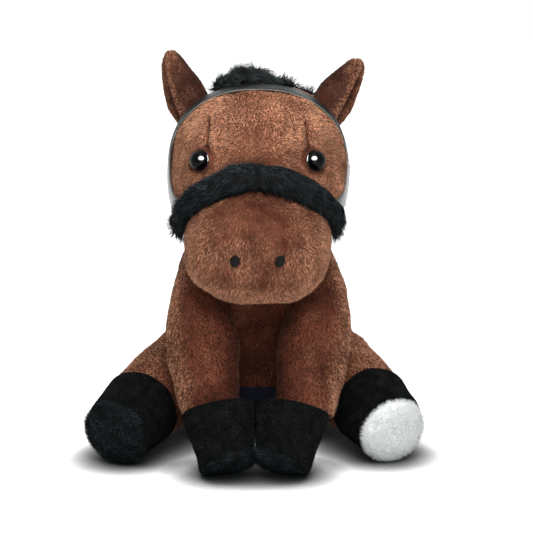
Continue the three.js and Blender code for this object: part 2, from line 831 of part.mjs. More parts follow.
function addFrontLegs() {
  const swings = [0, -frontSwingDegrees];
  const swungPast = (geometries) => joinAll(geometries.map((geometry) => (
    swept(geometry, shoulderPivot, sideways, swings)
  )));
  const nodded = nodAngles.map((nod) => turnedAbout(headCutter, neckPivot, sideways, nod));
  const [bodyRoom, headRoom] = [swungPast([bodyCutter]), swungPast(nodded)];
  for (const [name, side] of [['left', 1], ['right', -1]]) {
    const { limb, sleeve } = hindLeg(side);
    const lifted = [0, -hindLiftDegrees].flatMap((lift) => [limb, sleeve].map((form) => (
      turnedAbout(limbForm(form, clearance, limbSides), hipPivot, sideways, lift)
    )));
    const between = beyondPlane(place(feetMeetOut + (side * clearance) / 2, 0, 0), place(-side, 0, 0));
    const rooms = [bodyRoom, headRoom, swungPast(lifted), floor, between];
    addLeg(`front_leg_${name}`, frontLeg(side), rooms, rooms);
  }
}

function addHindLegs() {
  const bodyRoom = swept(bodyCutter, hipPivot, sideways, [0, hindLiftDegrees / 2, hindLiftDegrees]);
  const girthRoom = swept(girthBand(2 * clearance), hipPivot, sideways, smallTurns(0, hindLiftDegrees));
  const fillRise = clothRise + clothThickness + fillInset;
  const fillRoom = toSolid(stuffedForm(bodyForm, fillRise, fillSegments, fillRings));
  for (const [name, side] of [['left', 1], ['right', -1]]) {
    addLeg(`hind_leg_${name}`, hindLeg(side), [bodyRoom, girthRoom, floor], [fillRoom, floor]);
  }
}

// Saddle cloth and girth: sheets that follow the body round a plane square to the horse's back
const clothSpreadShare = 0.34;
const clothRise = 3.8 * clearance;

function bandGrid(startTurn, endTurn, steps, width, columns, rise) {
  const tilt = THREE.MathUtils.degToRad(girthTilt);
  const alongBack = new THREE.Vector3(0, -Math.sin(tilt), Math.cos(tilt));
  const backwardUp = new THREE.Vector3(0, Math.cos(tilt), Math.sin(tilt));
  const grid = [];
  for (let i = 0; i <= steps; i += 1) {
    const turn = 2 * Math.PI * (startTurn + ((endTurn - startTurn) * i) / steps);
    const middle = onSurface(bodyForm, bodyForm.heart.clone()
      .addScaledVector(sideways, Math.sin(turn)).addScaledVector(backwardUp, Math.cos(turn))).point;
    const row = [];
    for (let c = 0; c <= columns; c += 1) {
      const shift = width * (c / columns - 0.5);
      row.push(onSurface(bodyForm, middle.clone().addScaledVector(alongBack, shift), rise));
    }
    grid.push(row);
  }
  return grid;
}

// The band under the belly, or with a margin the room that it needs
function girthBand(margin) {
  const gapShare = clearance / (2 * Math.PI * bellyHalfDepth);
  const start = clothSpreadShare / 2 + gapShare;
  const grid = bandGrid(start, 1 - start, 32, girthWidth + 2 * margin, 2, clothRise - margin);
  return thickSheet(grid, clothThickness + 2 * margin);
}

function addSaddleCloth() {
  const half = clothSpreadShare / 2;
  const cloth = toSolid(thickSheet(bandGrid(-half, half, 14, clothLength, 5, clothRise), clothThickness));
  const headRoom = swept(headCutter, neckPivot, sideways, nodAngles);
  addPiece('saddle_cloth', toGeometry(cloth.subtract(headRoom)), blueCloth);
  addPiece('girth', girthBand(0), blueCloth);
}

// Tail: a long-pile lock that trails on the ground behind the seat
function addTail() {
  const root = exitPoint(bodyForm, place(0, 0, tailUp), backward);
  const ground = (radius) => radius + clearance;
  const route = [
    root,
    place(0, root.y * -1 - 0.3 * tailLength, (tailUp + ground(tailRadius)) / 2),
    place(0, root.y * -1 - 0.65 * tailLength, ground(tailRadius)),
    place(0, root.y * -1 - tailLength, ground(tailRadius / 2)),
  ];
  const radii = [0.6 * tailRadius, tailRadius, tailRadius, tailRadius / 2];
  const lock = loft(route, smoothThrough(radii), tuftSides, limbSteps, [radii[0] / 2, radii[3]], sideways);
  const room = swept(bodyCutter, root, sideways, [0, -tailLiftDegrees]);
  addPiece('tail', toGeometry(cutAll(toSolid(lock), [room, floor])), longPile);
}

addBody();
addHead();
addEyes();
addNostrils();
addNoseband();
addHeadStrap();
addEars();
addMane();
addFrontLegs();
addHindLegs();
addSaddleCloth();
addTail();

export default group;
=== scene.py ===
# The looks of the seated plush horse, worked out in millimetres in the part's frame and made in metres
import math

import bmesh
import bpy
import numpy as np
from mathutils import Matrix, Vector


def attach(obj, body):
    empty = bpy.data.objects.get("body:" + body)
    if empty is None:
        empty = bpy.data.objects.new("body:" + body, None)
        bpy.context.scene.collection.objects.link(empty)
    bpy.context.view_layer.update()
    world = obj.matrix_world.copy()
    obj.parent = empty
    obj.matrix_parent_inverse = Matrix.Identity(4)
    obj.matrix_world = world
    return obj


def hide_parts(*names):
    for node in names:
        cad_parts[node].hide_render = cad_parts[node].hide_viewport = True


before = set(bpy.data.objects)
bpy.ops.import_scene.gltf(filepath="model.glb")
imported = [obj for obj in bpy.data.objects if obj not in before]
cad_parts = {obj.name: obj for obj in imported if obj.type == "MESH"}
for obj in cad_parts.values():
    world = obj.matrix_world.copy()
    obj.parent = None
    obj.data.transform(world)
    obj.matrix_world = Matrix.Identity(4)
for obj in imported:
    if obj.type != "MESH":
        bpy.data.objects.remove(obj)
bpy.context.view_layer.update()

MM = 0.001
CLEARANCE = 0.3
TINY = 1e-9
SIDES = {"left": 1, "right": -1}
SIDEWAYS, BACKWARD, UPWARD = np.eye(3)


def place(out, forward, up):
    """A place from its way out to the horse's left, forward and up."""
    return np.array((out, -forward, up), float)


def unit(vectors):
    length = np.linalg.norm(vectors, axis=-1, keepdims=True)
    return vectors / np.maximum(length, 1e-12)


# Camera
CAMERA_DISTANCE, CAMERA_RISE_DEG, CAMERA_LENS = 750.0, 10.0, 104.65
CAMERA_TARGET = (3.9, -12.0, 80.6)


def set_camera():
    rise = math.radians(CAMERA_RISE_DEG)
    data = bpy.data.cameras.new("camera")
    data.lens = CAMERA_LENS
    data.clip_start, data.clip_end = 0.05, 20
    camera = bpy.data.objects.new("camera", data)
    back = Vector((0, -math.cos(rise), math.sin(rise)))
    camera.location = (Vector(CAMERA_TARGET) + CAMERA_DISTANCE * back) * MM
    camera.rotation_mode = "QUATERNION"
    camera.rotation_quaternion = (-back).to_track_quat("-Z", "Y")
    bpy.context.scene.collection.objects.link(camera)
    bpy.context.scene.camera = camera


# Stuffed forms: swellings that run into each other, each with its middle, half sizes and fullness
BLEND_SHARPNESS = 8
BODY = {
    "swellings": [
        (place(0, 0, 39.5), np.array((44.0, 38.0, 40.0)), 2.4),
        (place(0, 20, 78), np.array((38.0, 30.0, 30.0)), 2.0),
    ],
    "heart": place(0, 6, 48.6),
}
HEAD = {
    "swellings": [
        (place(0, 24, 129), np.array((41.0, 38.0, 40.0)), 2.3),
        (place(0, 46, 118), np.array((36.0, 30.0, 28.0)), 2.0),
        (place(0, 68, 98.3), np.array((32.0, 24.0, 24.0)), 2.5),
    ],
    "heart": place(0, 35, 123.5),
}
REACH, HALVINGS = 125.0, 36


def field(form, points):
    """Above 0 inside the form, and below 0 outside it."""
    total = np.zeros(len(points))
    for center, half, fullness in form["swellings"]:
        share = (np.abs((points - center) / half) ** fullness).sum(1)
        total += (share + 1e-12) ** (-BLEND_SHARPNESS / fullness)
    return total - 1


def normals_of(form, points):
    step = CLEARANCE / 10
    slope = [field(form, points - step * axis) - field(form, points + step * axis) for axis in np.eye(3)]
    return unit(np.stack(slope, axis=1))


def leave(form, starts, directions):
    """Where rays from inside leave the form."""
    inside, outside = np.zeros(len(directions)), np.full(len(directions), REACH)
    for _ in range(HALVINGS):
        middle = (inside + outside) / 2
        within = field(form, starts + middle[:, None] * directions) > 0
        inside, outside = np.where(within, middle, inside), np.where(within, outside, middle)
    return starts + inside[:, None] * directions


def on_surface(form, places, lift=0.0):
    """The form's surface under each place, seen from its heart, and the normal there."""
    places = np.atleast_2d(places)
    heart = np.broadcast_to(form["heart"], places.shape)
    feet = leave(form, heart, unit(places - heart))
    normal = normals_of(form, feet)
    return feet + lift * normal, normal


def keep_out(points, form, gap):
    """Points inside a form move out to its surface, and the gap further."""
    swellings = [(center, half + gap, fullness) for center, half, fullness in form["swellings"]]
    grown = {"swellings": swellings, "heart": form["heart"]}
    inside = field(grown, points) > 0
    moved = points.copy()
    if inside.any():
        moved[inside] = on_surface(grown, points[inside])[0]
    return moved, inside


BARE_BELOW = {"body": 0.6, "leg": 0.7, "tail": 1.2}


def above_floor(points, least=0.05):
    points = points.copy()
    points[:, 2] = np.maximum(points[:, 2], least)
    return points


# Lines, waves and masks
CURVE_FINENESS, VALUES_FINENESS = 40, 400


def curve_through(points, steps):
    """A smooth line through the points, its steps evenly spaced."""
    points = np.asarray(points, float)
    padded = np.vstack([2 * points[0] - points[1], points, 2 * points[-1] - points[-2]])
    fine = []
    for i in range(1, len(padded) - 2):
        a, b, c, d = padded[i - 1 : i + 3]
        for t in np.linspace(0, 1, CURVE_FINENESS, endpoint=False):
            bend = (2 * a - 5 * b + 4 * c - d) * t**2 + (3 * b - a - 3 * c + d) * t**3
            fine.append(0.5 * (2 * b + (c - a) * t + bend))
    fine = np.array([*fine, padded[-2]])
    run = np.concatenate([[0], np.cumsum(np.linalg.norm(np.diff(fine, axis=0), axis=1))])
    at = np.linspace(0, run[-1], steps + 1)
    return np.stack([np.interp(at, run, fine[:, k]) for k in range(fine.shape[1])], axis=1)


def smooth_values(values, count):
    """Values that are given at even spaces, and what lies between them."""
    line = curve_through(np.stack([np.arange(len(values)), values], axis=1), VALUES_FINENESS)
    return np.interp(np.linspace(0, 1, count) * (len(values) - 1), line[:, 0], line[:, 1])


def distance_to_line(points, line):
    best = np.full(len(points), np.inf)
    for a, b in zip(line[:-1], line[1:]):
        along = b - a
        share = np.clip((points - a) @ along / max(along @ along, TINY), 0, 1)
        best = np.minimum(best, np.linalg.norm(points - a - share[:, None] * along, axis=1))
    return best


def waves(points, size, seed, count=18):
    """Smooth noise from -1 to 1 whose bumps are about as wide as size."""
    random = np.random.default_rng(seed)
    turns = unit(random.normal(size=(count, 3))) * (2 * math.pi / size) * random.uniform(0.6, 1.5, (count, 1))
    phases = random.uniform(0, 2 * math.pi, count)
    return np.sin(points @ turns.T + phases).sum(1) / math.sqrt(count)


def lumps(points, *layers):
    """Waves over waves: each layer has its height, size and seed."""
    return sum(height * waves(points, size, seed) for height, size, seed in layers)


def wander(points, size, seed):
    """A direction that drifts over the surface."""
    return np.stack([waves(points, size, seed + k) for k in range(3)], axis=1)


def fade(values, low, high):
    """From 0 at low to 1 at high, where low may be the larger."""
    share = np.clip((values - low) / (high - low), 0, 1)
    return share * share * (3 - 2 * share)


def bell(values, width):
    """1 at zero, and falling off to both sides."""
    return np.exp(-((values / width) ** 2))


def along_surface(direction, normal):
    """The part of a direction that lies in the surface."""
    return unit(direction - (direction * normal).sum(1)[:, None] * normal)


def everywhere(direction, points):
    return np.broadcast_to(np.array(direction), points.shape)


# Meshes
def ball(subdivisions):
    made = bmesh.new()
    bmesh.ops.create_icosphere(made, subdivisions=subdivisions, radius=1)
    points = np.array([v.co for v in made.verts])
    faces = [tuple(v.index for v in f.verts) for f in made.faces]
    made.free()
    return points, faces


def ring_faces(rings, sides):
    faces = []
    for r in range(rings - 1):
        for s in range(sides):
            a, b = r * sides + s, r * sides + (s + 1) % sides
            faces.append((a, b, b + sides, a + sides))
    return faces


def flat_ended(rings, sides):
    last = (rings - 1) * sides
    return [*ring_faces(rings, sides), tuple(range(sides)), tuple(last + s for s in range(sides))]


def tube(centers, tangents, radii, sides, reference):
    """Round sections along a line, with a point in the middle of each end."""
    tangents = unit(tangents)
    across = unit(reference - (tangents @ reference)[:, None] * tangents)
    over = np.cross(tangents, across)
    angles = np.arange(sides) * 2 * math.pi / sides
    around = np.cos(angles)[None, :, None] * across[:, None] + np.sin(angles)[None, :, None] * over[:, None]
    ring = radii[:, None, None] * around
    points = np.vstack([(centers[:, None] + ring).reshape(-1, 3), centers[0], centers[-1]])
    faces = ring_faces(len(centers), sides)
    last = len(points) - 1
    base = (len(centers) - 1) * sides
    for s in range(sides):
        n = (s + 1) % sides
        faces += [(last - 1, n, s), (last, base + s, base + n)]
    return points, faces


def at_points(values, sides):
    """Each section's value at the points that tube makes of it."""
    return np.vstack([np.repeat(values, sides, axis=0), values[:1], values[-1:]])


def domed(line, radii, domes, steps, least):
    """Sections of a line with a dome of its own height at each end: centers, ways and radii."""
    ways = unit(np.gradient(line, axis=0))
    turn = np.linspace(math.pi / 2, 0, steps + 1)[:-1]
    before = line[0] - np.sin(turn)[:, None] * domes[0] * ways[0]
    behind = line[-1] + np.sin(turn[::-1])[:, None] * domes[1] * ways[-1]
    sizes = np.concatenate([np.cos(turn) * radii[0], radii, np.cos(turn[::-1]) * radii[-1]])
    all_ways = np.vstack([np.repeat(ways[:1], steps, axis=0), ways, np.repeat(ways[-1:], steps, axis=0)])
    return np.vstack([before, line, behind]), all_ways, np.maximum(sizes, least)


def soft_roll(sections, sides, reference, lump, hold):
    """A lumpy roll that is held clear of its neighbours: points, faces, the way out of it, and its cover."""
    centers, ways, radii = sections
    points, faces = tube(centers, ways, radii, sides, reference)
    outward = unit(points - at_points(centers, sides) + TINY)
    points, hidden = hold(points + lumps(points, lump)[:, None] * outward)
    return points, faces, outward, np.where(hidden, 0.0, 1.0)


def sheet_faces(rows, columns):
    """The faces of a closed sheet whose two layers each have this many rows and columns."""
    shift = rows * columns
    faces = []
    for r in range(rows - 1):
        for c in range(columns - 1):
            a, e = r * columns + c, (r + 1) * columns + c
            faces += [(a, a + 1, e + 1, e), (a + shift, e + shift, e + 1 + shift, a + 1 + shift)]
    edge = list(range(columns))
    edge += [r * columns + columns - 1 for r in range(1, rows)]
    edge += [(rows - 1) * columns + c for c in range(columns - 2, -1, -1)]
    edge += [r * columns for r in range(rows - 2, 0, -1)]
    for a, b in zip(edge, edge[1:] + edge[:1]):
        faces.append((a, a + shift, b + shift, b))
    return faces


def set_attribute(mesh, key, values):
    values = np.asarray(values, np.float32)
    kind, part = ("FLOAT_VECTOR", "vector") if values.ndim == 2 else ("FLOAT", "value")
    made = mesh.attributes.get(key) or mesh.attributes.new(key, kind, "POINT")
    made.data.foreach_set(part, values.ravel())


def add_object(name, mesh):
    piece = bpy.data.objects.new(name, mesh)
    bpy.context.scene.collection.objects.link(piece)
    return piece


def make_piece(name, points, faces, material, **attributes):
    mesh = bpy.data.meshes.new(name)
    mesh.from_pydata((np.asarray(points) * MM).tolist(), [], [tuple(int(i) for i in f) for f in faces])
    mesh.validate()
    for key, values in attributes.items():
        set_attribute(mesh, key, values)
    mesh.shade_smooth()
    mesh.materials.append(material)
    return add_object(name, mesh)


def face_outward(piece):
    made = bmesh.new()
    made.from_mesh(piece.data)
    bmesh.ops.recalc_face_normals(made, faces=made.faces)
    if made.calc_volume(signed=True) < 0:
        bmesh.ops.reverse_faces(made, faces=made.faces)
    made.to_mesh(piece.data)
    made.free()


def dress(piece, body, nodes):
    """Turns a finished piece's faces outward, gives it its body, and hides the solids that it stands for."""
    face_outward(piece)
    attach(piece, body)
    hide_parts(*nodes)


# Nodes
def linear(red, green, blue):
    def one(value):
        share = value / 255
        return share / 12.92 if share <= 0.04045 else ((share + 0.055) / 1.055) ** 2.4

    return (one(red), one(green), one(blue), 1)


def live(sockets, name):
    """The socket of this name that the node's data type uses."""
    return next(socket for socket in sockets if socket.name == name and socket.enabled)


class Nodes:
    """Adds nodes to one tree. What goes into a socket is a value, or the socket that feeds it."""

    def __init__(self, tree):
        self.tree = tree

    def feed(self, socket, value):
        if isinstance(value, bpy.types.NodeSocket):
            self.tree.links.new(value, socket)
        else:
            socket.default_value = value

    def add(self, kind, inputs=(), **settings):
        node = self.tree.nodes.new(kind)
        for key, value in settings.items():
            setattr(node, key, value)
        for key, value in dict(inputs).items():
            self.feed(node.inputs[key], value)
        return node

    def math(self, operation, a, b=0.0, clamp=False):
        return self.add("ShaderNodeMath", {0: a, 1: b}, operation=operation, use_clamp=clamp).outputs[0]

    def vector(self, operation, inputs, output="Vector"):
        return self.add("ShaderNodeVectorMath", inputs, operation=operation).outputs[output]

    def ranged(self, value, low, high, to_low=0.0, to_high=1.0):
        inputs = {"Value": value, "From Min": low, "From Max": high, "To Min": to_low, "To Max": to_high}
        return self.add("ShaderNodeMapRange", inputs).outputs[0]

    def swing(self, value, amount):
        """A value from 0 to 1 becomes one around 0, times the amount."""
        return self.math("MULTIPLY", self.math("SUBTRACT", value, 0.5), amount)

    def mix(self, share, dark, light):
        return self.add("ShaderNodeMix", {0: share, 6: dark, 7: light}, data_type="RGBA").outputs[2]

    def attribute(self, name, output="Fac"):
        return self.add("ShaderNodeAttribute", attribute_name=name).outputs[output]

    def on_object(self):
        return self.add("ShaderNodeTexCoord").outputs["Object"]

    def noise(self, scale, detail, roughness=0.5):
        inputs = {"Vector": self.on_object(), "Scale": scale, "Detail": detail, "Roughness": roughness}
        return self.add("ShaderNodeTexNoise", inputs).outputs["Fac"]

    def bump(self, height, strength, distance):
        inputs = {"Height": height, "Strength": strength, "Distance": distance * MM}
        return self.add("ShaderNodeBump", inputs).outputs["Normal"]


def new_group(name, kind, inputs, outputs):
    """A group's nodes, its given sockets and its result's. An input has its first value or its kind."""
    tree = bpy.data.node_groups.new(name, kind)
    for title, value in inputs.items():
        socket_kind = {float: "Float", int: "Int"}.get(type(value), value)
        made = tree.interface.new_socket(title, in_out="INPUT", socket_type=f"NodeSocket{socket_kind}")
        if socket_kind != value:
            made.default_value = value
    for title, socket_kind in outputs.items():
        tree.interface.new_socket(title, in_out="OUTPUT", socket_type=f"NodeSocket{socket_kind}")
    return Nodes(tree), tree.nodes.new("NodeGroupInput").outputs, tree.nodes.new("NodeGroupOutput").inputs


TWO_TONES = {"Dark": "Color", "Light": "Color"}
TONE_AND_HEIGHT = {"Color": "Color", "Height": "Float"}


def build_brushed_tone():
    """Colour of brushed cloth: light and dark patches where the nap lies differently, with a fine speckle."""
    inputs = {**TWO_TONES, "Patch size": 70.0, "Speckle size": 900.0, "Speckle": 0.35}
    nodes, given, result = new_group("brushed tone", "ShaderNodeTree", inputs, TONE_AND_HEIGHT)
    patches = nodes.ranged(nodes.noise(given["Patch size"], 3.0, 0.6), 0.32, 0.68)
    speckle = nodes.noise(given["Speckle size"], 2.0, 0.7)
    share = nodes.math("ADD", patches, nodes.swing(speckle, given["Speckle"]), clamp=True)
    nodes.feed(result["Color"], nodes.mix(share, given["Dark"], given["Light"]))
    nodes.feed(result["Height"], speckle)
    return nodes.tree


def build_fibre_tone():
    """Colour of one fibre, from a root darkened as painted shade deep in the pile to a tip that is lighter
    where light is painted on the surface.
    """
    inputs = {
        **TWO_TONES, "Root share": 0.5, "Spread": 0.5, "Darkest": 0.03, "Patches": 0.35, "Patch size": 70.0
    }
    nodes, given, result = new_group("fibre tone", "ShaderNodeTree", inputs, {"Color": "Color"})
    # the surface's painted light and shade, with random patches, picks between the dark and the light colour
    nap = nodes.attribute("nap")
    patches = nodes.swing(nodes.noise(given["Patch size"], 3.0), given["Patches"])
    color = nodes.mix(nodes.math("ADD", nap, patches, clamp=True), given["Dark"], given["Light"])
    # painted shade: each fibre is darker towards its root
    height = nodes.ranged(nodes.attribute("along"), 0.0, 1.0, given["Root share"])
    level = nodes.math("ADD", nodes.swing(nodes.attribute("tone"), given["Spread"]), height)
    level = nodes.math("MAXIMUM", level, given["Darkest"])
    # below zero the value only darkens: that is painted shade, in a seam or between two legs
    level = nodes.math("MULTIPLY", level, nodes.ranged(nap, -0.6, 0.0, 0.3, 1.0))
    nodes.feed(result["Color"], nodes.vector("SCALE", {0: color, "Scale": level}))
    return nodes.tree


def build_woven_tone():
    """Plain weave: warp and weft threads that cross, from the piece's own UV map in millimetres."""
    inputs = {**TWO_TONES, "Thread size": 1.6, "Patch size": 90.0}
    nodes, given, result = new_group("woven tone", "ShaderNodeTree", inputs, TONE_AND_HEIGHT)
    thread = {
        "Vector": nodes.add("ShaderNodeUVMap", uv_map="cloth").outputs["UV"],
        "Scale": given["Thread size"], "Distortion": 0.6, "Detail": 1.0,
    }
    warp, weft = (nodes.add("ShaderNodeTexWave", thread, bands_direction=way).outputs["Fac"] for way in "XY")
    height = nodes.math("MULTIPLY", warp, weft)
    share = nodes.math("ADD", height, nodes.noise(given["Patch size"], 3.0), clamp=True)
    nodes.feed(result["Color"], nodes.mix(share, given["Dark"], given["Light"]))
    nodes.feed(result["Height"], height)
    return nodes.tree


def build_mottled_tone():
    """Two close tones in soft patches, for plastic and thread."""
    inputs = {**TWO_TONES, "Patch size": 300.0, "Detail": 3.0}
    nodes, given, result = new_group(
        "mottled tone", "ShaderNodeTree", inputs, {"Color": "Color", "Patches": "Float"}
    )
    patches = nodes.noise(given["Patch size"], given["Detail"])
    nodes.feed(result["Color"], nodes.mix(patches, given["Dark"], given["Light"]))
    nodes.feed(result["Patches"], patches)
    return nodes.tree


BRUSHED_TONE = build_brushed_tone()
FIBRE_TONE = build_fibre_tone()
WOVEN_TONE = build_woven_tone()
MOTTLED_TONE = build_mottled_tone()


# Materials, whose patches and speckles are counted per metre
def new_material(name, values):
    """A material, its nodes, and the inputs of its shader, which have these values."""
    material = bpy.data.materials.new(name)
    material.use_nodes = True
    shader = material.node_tree.nodes["Principled BSDF"].inputs
    for key, value in values.items():
        shader[key].default_value = value
    return material, Nodes(material.node_tree), shader


def surface(roughness, specular=0.5, sheen=0.0, tint=(255, 255, 255), sheen_roughness=0.5):
    return {
        "Roughness": roughness, "Specular IOR Level": specular, "Sheen Weight": sheen,
        "Sheen Tint": linear(*tint), "Sheen Roughness": sheen_roughness,
    }


def toned(nodes, shader, tone, dark, light, **values):
    """Places a tone's group in a material, with the material's own colours and values."""
    inputs = {key.replace("_", " ").capitalize(): value for key, value in values.items()}
    inputs.update({"Dark": linear(*dark), "Light": linear(*light)})
    made = nodes.add("ShaderNodeGroup", inputs, node_tree=tone).outputs
    nodes.feed(shader["Base Color"], made["Color"])
    return made


def cloth_material(name, tone, dark, light, strength, depth, look, **values):
    """Cloth whose tone also raises its surface."""
    material, nodes, shader = new_material(name, look)
    made = toned(nodes, shader, tone, dark, light, **values)
    nodes.feed(shader["Normal"], nodes.bump(made["Height"], strength, depth))
    return material


def backing(name, dark, light, patch_size, speckle_size, speckle, depth, look):
    """Skin or felt under the fibres."""
    return cloth_material(
        name, BRUSHED_TONE, dark, light, 0.6, depth, look,
        patch_size=patch_size, speckle_size=speckle_size, speckle=speckle,
    )


FIBRE_ROUNDNESS = 0.45


def fibre_material(name, dark, light, look, **values):
    """Fibres take their light from the surface they stand on, so that the nap shades as one soft form."""
    material, nodes, shader = new_material(name, look)
    toned(nodes, shader, FIBRE_TONE, dark, light, **values)
    stands = nodes.add(
        "ShaderNodeVectorTransform", {"Vector": nodes.attribute("stands", "Vector")},
        vector_type="NORMAL", convert_from="OBJECT", convert_to="WORLD",
    ).outputs[0]
    own = nodes.add("ShaderNodeNewGeometry").outputs["Normal"]
    own = nodes.vector("SCALE", {0: own, "Scale": FIBRE_ROUNDNESS})
    even = nodes.vector("NORMALIZE", {0: nodes.vector("ADD", {0: stands, 1: own})})
    nodes.feed(shader["Normal"], even)
    return material


# The fibres run from the dark colour in painted shade to the light one in painted light; the backing under
# them is a darker brown than the lit tips, which is painted shade under the pile.
BROWN_DARK, BROWN_LIGHT = (88, 42, 29), (240, 174, 136)
BROWN_SKIN = backing(
    "brown plush backing", (66, 34, 24), (112, 64, 45), patch_size=60.0, speckle_size=1300.0,
    speckle=0.8, depth=0.5, look=surface(0.9, specular=0.1, sheen=0.08, tint=(240, 190, 160)),
)
BROWN_PILE = fibre_material(
    "brown pile", BROWN_DARK, BROWN_LIGHT,
    surface(0.75, specular=0.1, sheen=0.12, tint=(250, 205, 175), sheen_roughness=0.45),
    root_share=0.55, spread=1.35, patches=0.35, darkest=0.35,
)
# a copy of the brown pile in painted shade for the legs: the same colours, with darker roots, a wider spread
# and a lower floor
SHADED_LEG_PILE = fibre_material(
    "brown pile of the legs", BROWN_DARK, BROWN_LIGHT,
    surface(0.75, specular=0.1, sheen=0.1, tint=(250, 205, 175), sheen_roughness=0.45),
    root_share=0.34, spread=2.3, patches=0.35, darkest=0.14,
)
# the ears' backing and pile are darker than the head's brown plush: painted shade
EAR_SKIN = backing(
    "ear plush backing", (48, 26, 19), (84, 48, 34), patch_size=90.0, speckle_size=1500.0,
    speckle=0.5, depth=0.5, look=surface(0.9, specular=0.2, sheen=0.15, tint=(235, 190, 160)),
)
EAR_PILE = fibre_material(
    "ear pile", (72, 36, 26), (198, 138, 106),
    surface(0.75, specular=0.1, sheen=0.1, tint=(245, 205, 178)),
    root_share=0.45, spread=1.5, patches=0.6,
)
BLACK_FELT = backing(
    "black felt", (3, 4, 4), (12, 13, 13), patch_size=220.0, speckle_size=2600.0,
    speckle=1.1, depth=0.3, look=surface(0.9, specular=0.04),
)
FELT_NAP = fibre_material(
    "felt nap", (2, 3, 3), (44, 48, 47), surface(0.85, specular=0.04),
    root_share=0.45, spread=3.0, patches=0.35, patch_size=220.0,
)
BLACK_SKIN = backing(
    "black plush backing", (5, 6, 7), (13, 15, 17), patch_size=120.0, speckle_size=1500.0,
    speckle=0.5, depth=0.4, look=surface(0.9, specular=0.08),
)
# the light colours of the black pile and the long hair are painted sheen on black fibres
BLACK_PILE = fibre_material(
    "black pile", (4, 5, 6), (40, 50, 54), surface(0.5, specular=0.09),
    root_share=0.15, spread=2.8, patches=0.6,
)
WHITE_SKIN = backing(
    "white plush backing", (236, 239, 238), (250, 251, 250), patch_size=90.0, speckle_size=1200.0,
    speckle=0.4, depth=0.3, look=surface(0.9),
)
WHITE_PILE = fibre_material(
    "white pile", (246, 250, 250), (252, 254, 254), surface(0.8),
    root_share=0.92, spread=0.06, patches=0.3,
)
LONG_HAIR = fibre_material(
    "long black hair", (4, 5, 6), (58, 68, 69), surface(0.4, specular=0.12),
    root_share=0.1, spread=3.2, patches=0.7,
)

# Pile
WAVE_TURNS = 1.2
OWN_TONE_SHARE = 0.35


